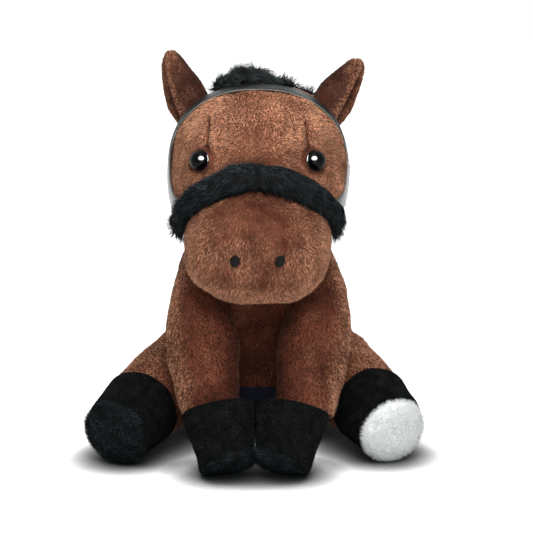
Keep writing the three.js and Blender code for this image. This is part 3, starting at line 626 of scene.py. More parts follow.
def build_pile_tree():
    """Fibres that stand on a surface and lean the way it is combed. They grow where its cover is above 0."""
    inputs = {
        "Geometry": "Geometry", "Fibres per square metre": 1e6, "Length": 0.0025, "Width": 0.0006,
        "Lean": 0.9, "Disorder": 0.2, "Shortest": 0.6, "Bend": 0.0, "Wave": 0.0, "Clump size": 0.0009,
        "Segments": 1, "Seed": 0, "Material": "Material",
    }
    nodes, given, result = new_group("pile", "GeometryNodeTree", inputs, {"Geometry": "Geometry"})
    length = given["Length"]

    def times(a, b):
        return nodes.math("MULTIPLY", a, b)

    def plus(a, b):
        return nodes.vector("ADD", {0: a, 1: b})

    def scaled(vector, factor):
        return nodes.vector("SCALE", {0: vector, "Scale": factor})

    def named(name, kind):
        node = nodes.add("GeometryNodeInputNamedAttribute", {"Name": name}, data_type=kind)
        return live(node.outputs, "Attribute")

    def marked(geometry, name, kind, value):
        inputs = {"Geometry": geometry, "Name": name}
        node = nodes.add("GeometryNodeStoreNamedAttribute", inputs, data_type=kind, domain="POINT")
        nodes.feed(live(node.inputs, "Value"), value)
        return node.outputs[0]

    def random(kind, low, high, seed):
        node = nodes.add("FunctionNodeRandomValue", {"Seed": seed}, data_type=kind)
        nodes.feed(live(node.inputs, "Min"), low)
        nodes.feed(live(node.inputs, "Max"), high)
        return live(node.outputs, "Value")

    spots = nodes.add(
        "GeometryNodeDistributePointsOnFaces",
        {
            "Mesh": given["Geometry"], "Seed": given["Seed"],
            "Density": times(named("cover", "FLOAT"), given["Fibres per square metre"]),
        },
        distribute_method="RANDOM",
    ).outputs
    upright = scaled(spots["Normal"], nodes.math("COSINE", given["Lean"]))
    lying = scaled(named("comb", "FLOAT_VECTOR"), nodes.math("SINE", given["Lean"]))
    stray = scaled(random("FLOAT_VECTOR", (-1, -1, -1), (1, 1, 1), given["Seed"]), given["Disorder"])
    direction = plus(plus(upright, lying), stray)
    turn = nodes.add("FunctionNodeAlignRotationToVector", {"Vector": direction}, axis="Z")

    fibre = nodes.add(
        "GeometryNodeMeshCone",
        {
            "Vertices": 3, "Side Segments": given["Segments"], "Radius Top": 0.0,
            "Radius Bottom": times(given["Width"], 0.5), "Depth": length,
        },
        fill_type="NGON",
    ).outputs["Mesh"]
    position = nodes.add("GeometryNodeInputPosition").outputs[0]
    share = nodes.math("DIVIDE", nodes.add("ShaderNodeSeparateXYZ", {0: position}).outputs["Z"], length)
    curl = times(times(share, share), times(given["Bend"], length))
    swung = nodes.math("SINE", times(share, WAVE_TURNS * 2 * math.pi))
    ripple = times(swung, times(given["Wave"], length))
    offset = nodes.add("ShaderNodeCombineXYZ", {"X": curl, "Y": ripple}).outputs[0]
    bent = {"Geometry": marked(fibre, "along", "FLOAT", share), "Offset": offset}

    # neighbours that cling together share a tone
    clump = {"Scale": nodes.math("DIVIDE", 1.0, given["Clump size"]), "Detail": 1.0}
    clump = nodes.ranged(nodes.add("ShaderNodeTexNoise", clump).outputs["Fac"], 0.33, 0.67)
    own_tone = random("FLOAT", 0.0, 1.0, nodes.math("ADD", given["Seed"], 2.0))
    tone = nodes.math("ADD", times(own_tone, OWN_TONE_SHARE), times(clump, 1 - OWN_TONE_SHARE))
    points = marked(spots["Points"], "tone", "FLOAT", tone)
    grown = {
        "Points": marked(points, "stands", "FLOAT_VECTOR", spots["Normal"]),
        "Instance": nodes.add("GeometryNodeSetPosition", bent).outputs[0],
        "Rotation": turn.outputs[0],
        "Scale": random("FLOAT", given["Shortest"], 1.0, nodes.math("ADD", given["Seed"], 1.0)),
    }
    made = nodes.add("GeometryNodeInstanceOnPoints", grown).outputs[0]
    made = nodes.add("GeometryNodeRealizeInstances", {"Geometry": made}).outputs[0]
    made = nodes.add("GeometryNodeSetShadeSmooth", {"Geometry": made}).outputs[0]
    made = nodes.add("GeometryNodeSetMaterial", {"Geometry": made, "Material": given["Material"]}).outputs[0]
    nodes.feed(result["Geometry"], made)
    return nodes.tree


PILE = build_pile_tree()


def habit(length, width, lean, disorder=0.2, shortest=0.6, bend=0.0, wave=0.0, clump=0.9, segments=1):
    """How fibres grow: sizes in millimetres, the lean in degrees, the rest in shares."""
    return {
        "Length": length * MM, "Width": width * MM, "Lean": math.radians(lean), "Disorder": disorder,
        "Shortest": shortest, "Bend": bend, "Wave": wave, "Clump size": clump * MM, "Segments": segments,
    }


SHORT_PILE = habit(length=1.8, width=0.5, lean=54, disorder=0.3, shortest=0.5, clump=0.95)
SOCK_NAP = habit(length=0.7, width=0.34, lean=55, disorder=0.5, shortest=0.4, clump=0.5)
SOLE_PILE = habit(length=2.3, width=0.4, lean=30, disorder=0.5, shortest=0.4)
EAR_NAP = habit(length=1.2, width=0.4, lean=50, disorder=0.3, shortest=0.5)
ROLL_PILE = habit(length=1.5, width=0.5, lean=50, disorder=0.35, shortest=0.5, bend=0.3, segments=2)
ROLL_STRANDS = habit(
    length=3.6, width=0.55, lean=65, disorder=0.14, shortest=0.55, bend=0.3, wave=0.05, clump=1.3, segments=3
)
ROLL_TUFTS = habit(length=6.5, width=0.5, lean=58, disorder=0.35, shortest=0.4, bend=0.4, segments=3)
FORELOCK_HAIR = habit(
    length=5.2, width=0.55, lean=40, disorder=0.5, shortest=0.4, bend=0.7, wave=0.1, clump=1.4, segments=4
)
CREST_HAIR = habit(length=8.0, width=0.5, lean=55, disorder=0.45, shortest=0.4, bend=0.4, segments=3)
TAIL_HAIR = habit(length=9.0, width=0.5, lean=68, disorder=0.3, shortest=0.5, bend=0.2, segments=4)


def grow(name, host, body, slot_name, material, per_mm2, way, seed, **changed):
    """Pile on a host, as a piece of its own. Attributes that are given take the place of the host's."""
    values = {**way, "Fibres per square metre": per_mm2 * 1e6, "Seed": seed, "Material": material}
    work = add_object("work", host.data.copy())
    for key, given in changed.items():
        set_attribute(work.data, key, given)
    modifier = work.modifiers.new("pile", "NODES")
    modifier.node_group = PILE
    for item in PILE.interface.items_tree:
        if item.in_out == "INPUT" and item.name in values:
            modifier[item.identifier] = values[item.name]
    work.update_tag()
    mesh = bpy.data.meshes.new_from_object(work.evaluated_get(bpy.context.evaluated_depsgraph_get()))
    bpy.data.objects.remove(work)
    mesh.name = name
    places = np.zeros(len(mesh.vertices) * 3, np.float32)
    mesh.vertices.foreach_get("co", places)
    places[2::3] = np.maximum(places[2::3], 0.0)
    mesh.vertices.foreach_set("co", places)
    piece = add_object(name, mesh)
    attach(piece, body)


# Lines on the head that other pieces follow, in shares of the cranium or the muzzle
CRANIUM, _, MUZZLE = HEAD["swellings"]


def by_shares(swelling, shares):
    center, half, _ = swelling
    shares = np.asarray(shares, float)
    return center + np.stack([shares[..., 0], -shares[..., 1], shares[..., 2]], axis=-1) * half


def mirrored(half_line, middle):
    return [*half_line, middle, *((-out, forward, up) for out, forward, up in reversed(half_line))]


NOSEBAND_SIDE = [(1.13, -0.2, 0.27), (1.07, 0.03, 0.6), (0.84, 0.3, 0.91), (0.45, 0.38, 1.22)]
NOSEBAND_SHARES = mirrored(NOSEBAND_SIDE, (0, 0.4, 1.34))
STRAP_SIDE = [
    (0.88, 0.93, -0.36), (0.95, 0.66, -0.26), (1, 0.44, -0.1), (1.02, 0.27, 0.12), (1, 0.16, 0.38),
    (0.92, 0.15, 0.55), (0.78, 0.22, 0.71), (0.58, 0.26, 0.86), (0.3, 0.29, 0.96),
]
STRAP_WIDTH, STRAP_THICKNESS = 8.5, 1.0
NOSEBAND_STEPS, STRAP_STEPS, SEAM_STEPS = 90, 240, 24
NOSEBAND_RISES = np.array([0.3, *[2.6] * 7, 0.3])[:, None]
NOSEBAND_ROUTE = on_surface(HEAD, by_shares(MUZZLE, NOSEBAND_SHARES), NOSEBAND_RISES)[0]
NOSEBAND_LINE = curve_through(NOSEBAND_ROUTE, NOSEBAND_STEPS)
STRAP_SHARES = mirrored(STRAP_SIDE, (0, 0.3, 0.99))
STRAP_LINE = curve_through(on_surface(HEAD, by_shares(CRANIUM, STRAP_SHARES))[0], STRAP_STEPS)

EYE_RADIUS, EYE_HEIGHT, EYE_OUT, EYE_UP, EYE_TURN_DEG = 5.0, 4.2, 25.8, 137.0, 30.0
NOSTRIL_OUT, NOSTRIL_UP, NOSTRIL_WIDTH, NOSTRIL_HEIGHT = 9.7, 97.0, 4.5, 5.2


def on_face(out, forward, up):
    """Where a line that runs forward from inside the head comes out."""
    return leave(HEAD, place(out, forward, up)[None], np.array([[0.0, -1.0, 0.0]]))[0]


def eye_seat(side):
    """Where an eye sits on the head, and the way it looks."""
    foot = on_face(side * EYE_OUT, 24, EYE_UP)
    turned = unit(np.array((side * math.tan(math.radians(EYE_TURN_DEG)), -1.0, 0.0)))
    return foot, unit(normals_of(HEAD, foot[None])[0] + turned)


EYES = {name: eye_seat(side) for name, side in SIDES.items()}
NOSTRILS = {name: on_face(side * NOSTRIL_OUT, 68, NOSTRIL_UP) for name, side in SIDES.items()}

# Seams of the face: from the crown to the inner corner of each eye, and on down to the muzzle
FACE_SEAM = [(21.5, 155), (22.3, 150), (22.6, 145.5), (22.3, 141.6)]
LOWER_SEAM = [(22.0, 132), (20.5, 126), (19.5, 121), (20.0, 116)]
SEAMS = [
    curve_through([on_face(side * out, 20, up) for out, up in spots], SEAM_STEPS)
    for side in SIDES.values()
    for spots in (FACE_SEAM, LOWER_SEAM)
]

# Head
HEAD_FINENESS, BODY_FINENESS = 7, 6
NOSTRIL_PAD = (2.1, 9, 2.4)
SEAM_DEPTH, SEAM_WIDTH, SEAM_EDGE, DIMPLE_DEPTH = 1.5, 0.9, 0.35, 0.5
SKIN_INSET, STRAP_RISE, STRAP_FIT = 0.8, 0.7, (5, 11)
FACE_FROM, CHEST_FROM = (38, 42), (8, 12)
# Fibres begin between these distances from an eye, the strap's edge, the noseband and a nostril's middle.
EYE_BARE, STRAP_BARE, NOSEBAND_BARE, NOSTRIL_BARE = (5.2, 5.9), (-2.2, -1.4), (3.8, 5.2), (0.95, 1.15)
# Round an eye the plush stays between two heights over its seat, which rise and fall away from its rim.
BED_WIDTH, BED_DEPTH = 14, 8
HIGHEST, HIGHEST_FROM, HIGHEST_SLOPE = -0.5, 5.4, 0.45
LOWEST, LOWEST_FROM, LOWEST_SLOPE = -1.3, 6.4, -0.9
# Patches of painted shade on the face: how dark, its middle, and its three sizes
PAINTED_SHADE_PATCHES = [
    (0.28, place(0, 66, 140), (14, 60, 8)), (0.25, place(-1, 60, 151), (8, 60, 4)),
    (0.34, place(0, 84, 117), (18, 60, 10)), (0.1, place(0, 94, 98), (14, 30, 9)),
    (0.28, place(0, 92, 83), (20, 30, 6)),
]


def round_the_eyes(points):
    """The plush lies flat under the rim of each eye and rises round it, and covers the washer behind it."""
    for foot, axis in EYES.values():
        height = (points - foot) @ axis
        out = np.linalg.norm(points - foot - height[:, None] * axis, axis=1)
        near = (out < BED_WIDTH) & (np.abs(height) < BED_DEPTH)
        highest = HIGHEST + HIGHEST_SLOPE * np.maximum(out - HIGHEST_FROM, 0)
        lowest = LOWEST + LOWEST_SLOPE * np.maximum(out - LOWEST_FROM, 0)
        moved = np.where(near, np.clip(height, lowest, highest), height)
        points = points + (moved - height)[:, None] * axis
    return points


def head_nap(feet, normal, eyes, seam):
    """Painted light and shade on the head's fur, mostly from 0 to 1 over random lumps: lighter where the
    forehead faces up, on the sides and at the chin's rim, and darker in patches, round the eyes and in the
    seams.
    """
    out, up = np.abs(feet[:, 0]), feet[:, 2]
    nap = 0.38 + lumps(feet, (0.1, 16, 51), (0.08, 6, 52))
    nap += 0.55 * fade(normal[:, 2], 0.15, 0.7) * fade(up, 134, 150)
    nap += 0.1 * fade(out, 24, 32) * fade(up, 118, 124)
    nap += 0.25 * fade(out, 14, 30) * fade(up, 120, 100)
    nap += 0.4 * fade(-normal[:, 2], 0.3, 0.75) * fade(up, 90, 82)
    for amount, middle, size in PAINTED_SHADE_PATCHES:
        nap -= amount * np.exp(-(((feet - middle) / size) ** 2).sum(1))
    # painted shade round the eyes and in the seams
    return nap - 0.4 * (1 - fade(eyes, 5, 8)) - 1.3 * bell(seam, 0.7) - 0.15 * bell(seam, 3)


def head_comb(feet, normal):
    """The way the fur lies: down and outward, and away from each eye close to it."""
    outward = np.stack([feet[:, 0] / 42, -0.25 * np.ones(len(feet)), -np.ones(len(feet))], axis=1)
    comb = outward + 0.35 * wander(feet, 22, 11)
    for foot, _ in EYES.values():
        away = feet - foot
        close = 1 - fade(np.linalg.norm(away, axis=1), 6.5, 9)
        comb = comb + (3 * close)[:, None] * unit(away)
    return along_surface(comb, normal)


def grow_part(name, skin, body, cover, per_mm2, seed):
    grow(name, skin, body, "brown_plush", BROWN_PILE, per_mm2, SHORT_PILE, seed, cover=cover)


def build_head():
    points, faces = ball(HEAD_FINENESS)
    feet, normal = on_surface(HEAD, HEAD["heart"] + points)
    seam = np.minimum.reduce([distance_to_line(feet, line) for line in SEAMS])
    seam = seam + 20 * fade(feet[:, 2], 134, 127)
    noses = np.minimum.reduce(
        [np.linalg.norm((feet - foot) / NOSTRIL_PAD, axis=1) for foot in NOSTRILS.values()]
    )
    eyes = np.minimum.reduce([np.linalg.norm(feet - foot, axis=1) for foot, _ in EYES.values()])
    to_strap = distance_to_line(feet, STRAP_LINE)
    groove = SEAM_DEPTH * bell(seam, SEAM_WIDTH) - SEAM_EDGE * bell(seam - 2.4, 1.3)
    dimple = DIMPLE_DEPTH * (1 - fade(noses, 1.0, 2.4))
    inset = SKIN_INSET - STRAP_RISE * (1 - fade(to_strap, *STRAP_FIT))
    rise = lumps(feet, (0.5, 26, 3), (0.2, 9, 4)) - groove - dimple - inset
    shaped = round_the_eyes(feet + rise[:, None] * normal)
    cover = fade(eyes, *EYE_BARE) * fade(noses, *NOSTRIL_BARE)
    cover *= fade(to_strap, *(STRAP_WIDTH / 2 + bare for bare in STRAP_BARE))
    cover *= fade(distance_to_line(feet, NOSEBAND_LINE), *NOSEBAND_BARE)
    cover *= 1 - 0.3 * bell(seam, 0.4)
    cover *= 1 - keep_out(feet, BODY, gap=2.4)[1]
    cover = cover.astype(np.float32)
    nap, comb = head_nap(feet, normal, eyes, seam), head_comb(feet, normal)
    skin = make_piece("head_plush", shaped, faces, BROWN_SKIN, cover=cover, comb=comb, nap=nap)
    dress(skin, "head", ["head_skin", "head_fill"])
    face = fade(-feet[:, 1], *FACE_FROM)
    grow_part("head_face_pile", skin, "head", cover * face, per_mm2=3.6, seed=5)
    grow_part("head_nape_pile", skin, "head", cover * (1 - face), per_mm2=2.4, seed=6)


# Body
def build_body():
    points, faces = ball(BODY_FINENESS)
    feet, normal = on_surface(BODY, BODY["heart"] + points)
    rise = lumps(feet, (0.7, 30, 21), (0.2, 9, 22)) - 1.0
    shaped, hidden = keep_out(feet + rise[:, None] * normal, HEAD, gap=0.5)
    seat = shaped[:, 2] < BARE_BELOW["body"]
    cover = np.where(hidden | seat, 0.0, 1.0)
    comb = along_surface(everywhere((0.0, 0.1, -1.0), feet), normal)
    behind, forward = feet[:, 1], -feet[:, 1]
    # painted light and shade: lighter towards the back, darker on the chest, most of all low between the
    # front legs
    nap = 0.15 + 0.15 * waves(feet, 14, 23) + 0.45 * fade(behind, -8, 10) - 0.2 * fade(forward, 20, 34)
    nap -= 0.45 * fade(forward, 8, 24) * fade(feet[:, 2], 56, 34)
    skin = make_piece("body_plush", above_floor(shaped), faces, BROWN_SKIN, cover=cover, comb=comb, nap=nap)
    dress(skin, "torso", ["body_skin", "body_fill"])
    chest = fade(forward, *CHEST_FROM)
    grow_part("chest_pile", skin, "torso", cover * chest, per_mm2=2.8, seed=15)
    grow_part("back_pile", skin, "torso", cover * (1 - chest), per_mm2=2.1, seed=16)


# Legs
SOCK_LENGTHS = {"front": 24.0, "hind": 26.0}
LEG_SEEDS = {"front": 40, "hind": 60}
SOLE_DEPTH = 5.0
FEET_MEET_OUT = -1.2
SEAM_LEAN = 3.2
LEG_STEPS, LEG_SIDES, LEG_DOME_STEPS = 150, 96, 11
LIMB_STRIDE, LUMP_STRIDE, LUMP_SIZE, LIMB_REACH = 4, 3, 16, 1.05
# How far the plush runs into the sock, and where its skin is cut off and its fibres end, from the cuff.
TUCK, SKIN_END, FIBRE_END = 6 * math.tan(0.5), 0.3, -0.4
# the deepest painted shade on a leg's fur
DARKEST_PAINTED_SHADE = -0.14
SOLE_LOOKS = {"hind_leg_left": (WHITE_SKIN, WHITE_PILE, "white_plush")}
PLUSH_INSET, FELT_INSET, SOLE_INSET = 0.8, 0.15, 0.8
SOLE_RINGS, SOLE_FULLNESS = 22, 0.55
CUFF_PINCH, CUFF_RUN, RIM_PINCH, RIM_RUN = 1.1, 2.5, 0.9, 2.2
FEET_BEFORE, PRESS_DEPTH, PRESS_WIDTH, FEET_APART, PRESSED_BARE = -60, 2.6, 3.2, 0.08, 0.25


def limb(route, radii, dome):
    """Sections along a route, which start with a dome. The last is the sole's rim."""
    line = curve_through(route, LEG_STEPS)
    tangents = unit(np.gradient(line, axis=0))
    radii = smooth_values(radii, LEG_STEPS + 1)
    turn = np.linspace(math.pi / 2, 0, LEG_DOME_STEPS + 1)[:-1]
    before = line[0] - np.sin(turn)[:, None] * dome * tangents[0]
    return {
        "centers": np.vstack([before, line[1:]]),
        "tangents": np.vstack([np.repeat(tangents[:1], LEG_DOME_STEPS, axis=0), tangents[1:]]),
        "radii": np.concatenate([np.maximum(np.cos(turn), 0.05) * radii[0], radii[1:]]),
    }


def front_limbs(side):
    """The plush tube of a front leg, and the wider sleeve that its sock and sole are cut from."""
    elbow_out, sleeve_out, sole_out = (28, 17, 11.2) if side > 0 else (26.8, 19, 13.4)
    sole = place(side * sole_out, 91.5, 7.8)
    route = [
        place(side * 21, 32, 95), place(side * elbow_out, 48, 71), place(side * 25, 63, 50),
        place(side * 21.3, 78.5, 30), sole,
    ]
    sleeve = limb([place(side * sleeve_out, 79, 33), sole], [17.4, 12.6], 8.7)
    return limb(route, [11, 13.6, 16.4, 13.6, 12.6], 5.5), sleeve


def hind_limbs(side):
    hip_up, sole_out, sole_forward = (31, 61, 69) if side > 0 else (29.6, 64, 73)
    route = [
        place(side * 30, 4, hip_up), place(side * 49, 40, 23.5), place(side * sole_out, sole_forward, 15.2)
    ]
    return limb(route, [23, 19.5, 14.8], 11.5), limb(route, [24, 20.5, 15.8], 12)


def sections(made, first=0, last=None):
    return (made[key][first:last] for key in ("centers", "tangents", "radii"))


def keep_off_limb(points, made, gap):
    """Points inside a limb move out square to its line, to its skin and the gap further."""
    nearest = np.linalg.norm(points[:, None] - made["centers"][None, ::LIMB_STRIDE], axis=2)
    at = nearest.argmin(1) * LIMB_STRIDE
    away = points - made["centers"][at]
    away -= (away * made["tangents"][at]).sum(1)[:, None] * made["tangents"][at]
    room = made["radii"][at] + gap
    distance = np.linalg.norm(away, axis=1)
    close = (distance < room) & (nearest.min(1) < room * LIMB_REACH)
    moved = points.copy()
    moved[close] += unit(away[close]) * (room[close] - distance[close])[:, None]
    return moved, close


def finish_leg_part(leg, points, around, lump):
    """Adds soft lumps and keeps clear of the neighbours and the floor. It also tells what is hidden there."""
    distances = np.linalg.norm(points[:, None] - around["centers"][None, ::LUMP_STRIDE], axis=2)
    away = unit(points - around["centers"][distances.argmin(1) * LUMP_STRIDE])
    points, hidden = leg["clear"](points + lumps(points, (lump, LUMP_SIZE, leg["seed"]))[:, None] * away)
    return above_floor(points), hidden | (points[:, 2] < BARE_BELOW["leg"])


def lean_seam(leg, points):
    """The seam round a front sole runs up towards the other foot."""
    if leg["kind"] == "hind":
        return points
    rim, way, radius = (values[-1] for values in sections(leg["sleeve"]))
    along = (points - rim) @ way
    weight = np.where(along < 0, fade(along, -9, -0.5), 1 - fade(along, 0, SOLE_DEPTH - 1))
    inward = -leg["side"] * (points[:, 0] - rim[0]) / radius
    return points - (SEAM_LEAN * inward * weight)[:, None] * way


def build_leg_plush(leg, made):
    """The plush tube, which ends inside the sock."""
    body, side, seed = leg["body"], leg["side"], leg["seed"]
    cuff_middle, cuff_way, _ = (values[leg["cuff"]] for values in sections(leg["sleeve"]))
    tucked = (made["centers"] - cuff_middle) @ cuff_way > TUCK
    last = int(np.argmax(tucked)) if tucked.any() else len(tucked) - 1
    centers, tangents, radii = sections(made, 0, last + 1)
    points, faces = tube(centers, tangents, radii - PLUSH_INSET, LEG_SIDES, SIDEWAYS)
    outer = unit(points - at_points(centers, LEG_SIDES) + TINY)
    points, bare = finish_leg_part(leg, points, made, lump=0.4)
    past = (points - cuff_middle) @ cuff_way
    points = points - np.maximum(past + SKIN_END, 0)[:, None] * cuff_way
    cover = np.where(bare | (past > FIBRE_END), 0.0, 1.0)
    cover[-2:] = 0
    comb = along_surface(at_points(tangents, LEG_SIDES) + 0.25 * wander(points, 20, seed), outer)
    # painted light on the fur that faces up; on a front leg, painted light on its outer side and painted
    # shade on its inner side and where it faces forward
    nap = 0.24 + 0.12 * waves(points, 14, seed + 4) + 0.25 * fade(outer[:, 2], 0.2, 0.9)
    if leg["kind"] == "front":
        outside = outer[:, 0] * side
        nap += 0.4 * fade(outside, 0.1, 1.0) - 0.34 * fade(-outside, 0.1, 0.8)
        nap -= 0.11 + 0.3 * fade(-outer[:, 1], 0.35, 0.95)
    nap = np.maximum(nap, DARKEST_PAINTED_SHADE)
    skin = make_piece(f"{body}_plush", points, faces, BROWN_SKIN, cover=cover, comb=comb, nap=nap)
    dress(skin, body, [f"{body}_skin", f"{body}_fill"])
    grow(f"{body}_pile", skin, body, "brown_plush", SHADED_LEG_PILE, per_mm2=3.2, way=SHORT_PILE, seed=seed)


def build_sock(leg):
    """The felt sock, whose cuff closes in on the plush."""
    body, seed = leg["body"], leg["seed"]
    centers, tangents, radii = sections(leg["sleeve"], leg["cuff"])
    steps = np.arange(len(radii))
    rim_pinch = RIM_PINCH * np.exp(-steps[::-1] / RIM_RUN)
    rolled = radii - FELT_INSET - CUFF_PINCH * bell(steps, CUFF_RUN) - rim_pinch
    points, faces = tube(centers, tangents, rolled, LEG_SIDES, SIDEWAYS)
    points, bare = finish_leg_part(leg, lean_seam(leg, points), leg["sleeve"], lump=0.25)
    cover = np.where(bare, 0.0, 1.0)
    cover[-2:] = 0
    comb = unit(at_points(tangents, LEG_SIDES) + 0.8 * wander(points, 9, seed))
    nap = 0.5 + 0.3 * waves(points, 7, seed + 5)
    sock = make_piece(f"{body}_felt_sock", points, faces, BLACK_FELT, cover=cover, comb=comb, nap=nap)
    dress(sock, body, [f"{body}_sock"])
    grow(f"{body}_sock_nap", sock, body, "black_felt", FELT_NAP, per_mm2=4.0, way=SOCK_NAP, seed=seed + 9)


def build_sole(leg):
    """A soft crowned disc of pile at the end of the foot. The left hind leg's is white."""
    body, seed = leg["body"], leg["seed"]
    rim, way, radius = (values[-1] for values in sections(leg["sleeve"]))
    turn = np.linspace(0, math.pi / 2, SOLE_RINGS)
    centers = rim + (0.4 + np.sin(turn)[:, None] * (SOLE_DEPTH - 1.2)) * way
    radii = (radius - SOLE_INSET) * np.maximum(np.cos(turn), 0.02) ** SOLE_FULLNESS
    points, faces = tube(centers, np.repeat(way[None], len(turn), axis=0), radii, LEG_SIDES, SIDEWAYS)
    points, bare = finish_leg_part(leg, lean_seam(leg, points), leg["sleeve"], lump=0.15)
    outward = unit(points - (rim + SOLE_DEPTH * way) + TINY)
    facing = unit(0.7 * outward + way)
    cover = np.where(bare, 0.0, 1.0)
    comb = along_surface(wander(points, 9, seed) + 0.3 * outward, facing)
    nap = 0.5 + 0.25 * waves(points, 6, seed + 6)
    skin_look, pile_look, slot_name = SOLE_LOOKS.get(body, (BLACK_SKIN, BLACK_PILE, "black_plush"))
    sole = make_piece(f"{body}_sole_plush", points, faces, skin_look, cover=cover, comb=comb, nap=nap)
    dress(sole, body, [f"{body}_sole"])
    grow(f"{body}_sole_pile", sole, body, slot_name, pile_look, per_mm2=6.5, way=SOLE_PILE, seed=seed + 3)


def build_leg(name, kind, limbs, clear):
    made, sleeve = limbs
    steps = np.linalg.norm(np.diff(sleeve["centers"], axis=0), axis=1)
    from_end = np.concatenate([np.cumsum(steps[::-1])[::-1], [0]])
    leg = {
        "body": f"{kind}_leg_{name}", "kind": kind, "side": SIDES[name], "sleeve": sleeve, "clear": clear,
        "cuff": int(np.argmax(from_end < SOCK_LENGTHS[kind])), "seed": LEG_SEEDS[kind] + 7 * (name == "left"),
    }
    build_leg_plush(leg, made)
    build_sock(leg)
    build_sole(leg)


def build_legs():
    hind = {side: hind_limbs(side) for side in SIDES.values()}
    for name, side in SIDES.items():

        def clear_front(points, side=side):
            points, hidden = keep_out(points, BODY, gap=0.4)
            points, off_head = keep_out(points, HEAD, gap=0.4)
            for thigh in hind[side]:
                points, off_thigh = keep_off_limb(points, thigh, gap=0.4)
                hidden = hidden | off_thigh
            # the two feet press flat against each other
            apart = (points[:, 0] - FEET_MEET_OUT) * side
            flattened = apart - PRESS_DEPTH * bell(apart, PRESS_WIDTH)
            pressed = np.where(points[:, 1] < FEET_BEFORE, flattened, apart)
            points[:, 0] = FEET_MEET_OUT + side * np.maximum(pressed, FEET_APART)
            return points, hidden | off_head | (pressed < PRESSED_BARE)

        def clear_hind(points):
            return keep_out(points, BODY, gap=0.6)

        build_leg(name, "front", front_limbs(side), clear_front)
        build_leg(name, "hind", hind[side], clear_hind)


# Noseband
NOSEBAND_RADII = [5.2, 7.6, 7.6, 7.6, 5.2]
NOSEBAND_CORE_INSET, NOSEBAND_DOME, NOSEBAND_SIDES = 2.2, 3.0, 56


def build_noseband():
    line = NOSEBAND_LINE
    radii = smooth_values(NOSEBAND_RADII, len(line)) - NOSEBAND_CORE_INSET
    roll = domed(line, radii, [NOSEBAND_DOME] * 2, steps=8, least=0.3)
    pole = unit(place(0, 44, -30.7))
    points, faces, outward, cover = soft_roll(
        roll, NOSEBAND_SIDES, pole, (0.45, 9, 31), lambda points: keep_out(points, HEAD, gap=0.3)
    )
    across = wander(points, 7, 33)
    comb = along_surface(np.array((0.0, -0.35, -0.55)) + 0.7 * across, outward)
    # painted light on the upper side of the roll; the short pile that grows on the core takes it 0.5 lower,
    # painted shade under the strands
    nap = 0.3 + 0.2 * waves(points, 7, 39) + 0.5 * fade(outward[:, 2], 0, 0.9)
    core = make_piece("noseband_roll", points, faces, BLACK_SKIN, cover=cover, comb=comb, nap=nap - 0.5)
    dress(core, "head", ["noseband"])
    grow("noseband_pile", core, "head", "black_plush", BLACK_PILE, per_mm2=3.8, way=ROLL_PILE, seed=31)

    # longer strands lie along the roll, and tufts hang from its ends
    along_roll = at_points(roll[1], NOSEBAND_SIDES)
    from_middle = along_roll * np.sign(points[:, :1] * along_roll[:, :1] + TINY)
    combed = along_surface(np.array((0.0, 0.0, -0.4)) + 0.9 * from_middle + 0.4 * across, outward)
    # the strands get a little more painted light than the roll
    grow(
        "noseband_strands", core, "head", "black_plush", BLACK_PILE,
        per_mm2=1.8, way=ROLL_STRANDS, seed=33,
        comb=combed, nap=nap + 0.15,
    )
    share = np.linalg.norm(points[:, None] - line[None], axis=2).argmin(1) / (len(line) - 1)
    ends = fade(np.minimum(share, 1 - share), 0.10, 0.03)
    hanging = along_surface(everywhere((0.0, -0.1, -1.0), points), outward)
    grow(
        "noseband_tufts", core, "head", "black_plush", BLACK_PILE,
        per_mm2=2.6, way=ROLL_TUFTS, seed=37,
        cover=cover * ends, comb=hanging, nap=nap,
    )


# Head strap
STRAP_SECTION, STRAP_LIFT, STRAP_END_GAP = 26, 0.3, 4.6
STRAP_SQUARENESS, EDGE_SQUARENESS = 0.45, 0.8


def strap_material():
    """Patent cloth: polished in places, with a light worn edge."""
    look = {"Roughness": 0.4, "Specular IOR Level": 0.12, "Coat Roughness": 0.3}
    material, nodes, shader = new_material("glossy strap", look)
    wear = nodes.math("MULTIPLY", nodes.attribute("edge"), nodes.noise(2600.0, 2.0))
    wear_and_painted_reflection = nodes.mix(nodes.ranged(wear, 0.28, 0.62), linear(11, 14, 14), linear(128, 130, 124))
    grain = nodes.noise(700.0, 4.0)
    nodes.feed(shader["Base Color"], wear_and_painted_reflection)
    nodes.feed(shader["Coat Weight"], nodes.attribute("polish"))
    nodes.feed(shader["Roughness"], nodes.ranged(grain, 0.3, 0.7, 0.35, 0.6))
    nodes.feed(shader["Normal"], nodes.bump(grain, 0.25, 0.2))
    return material


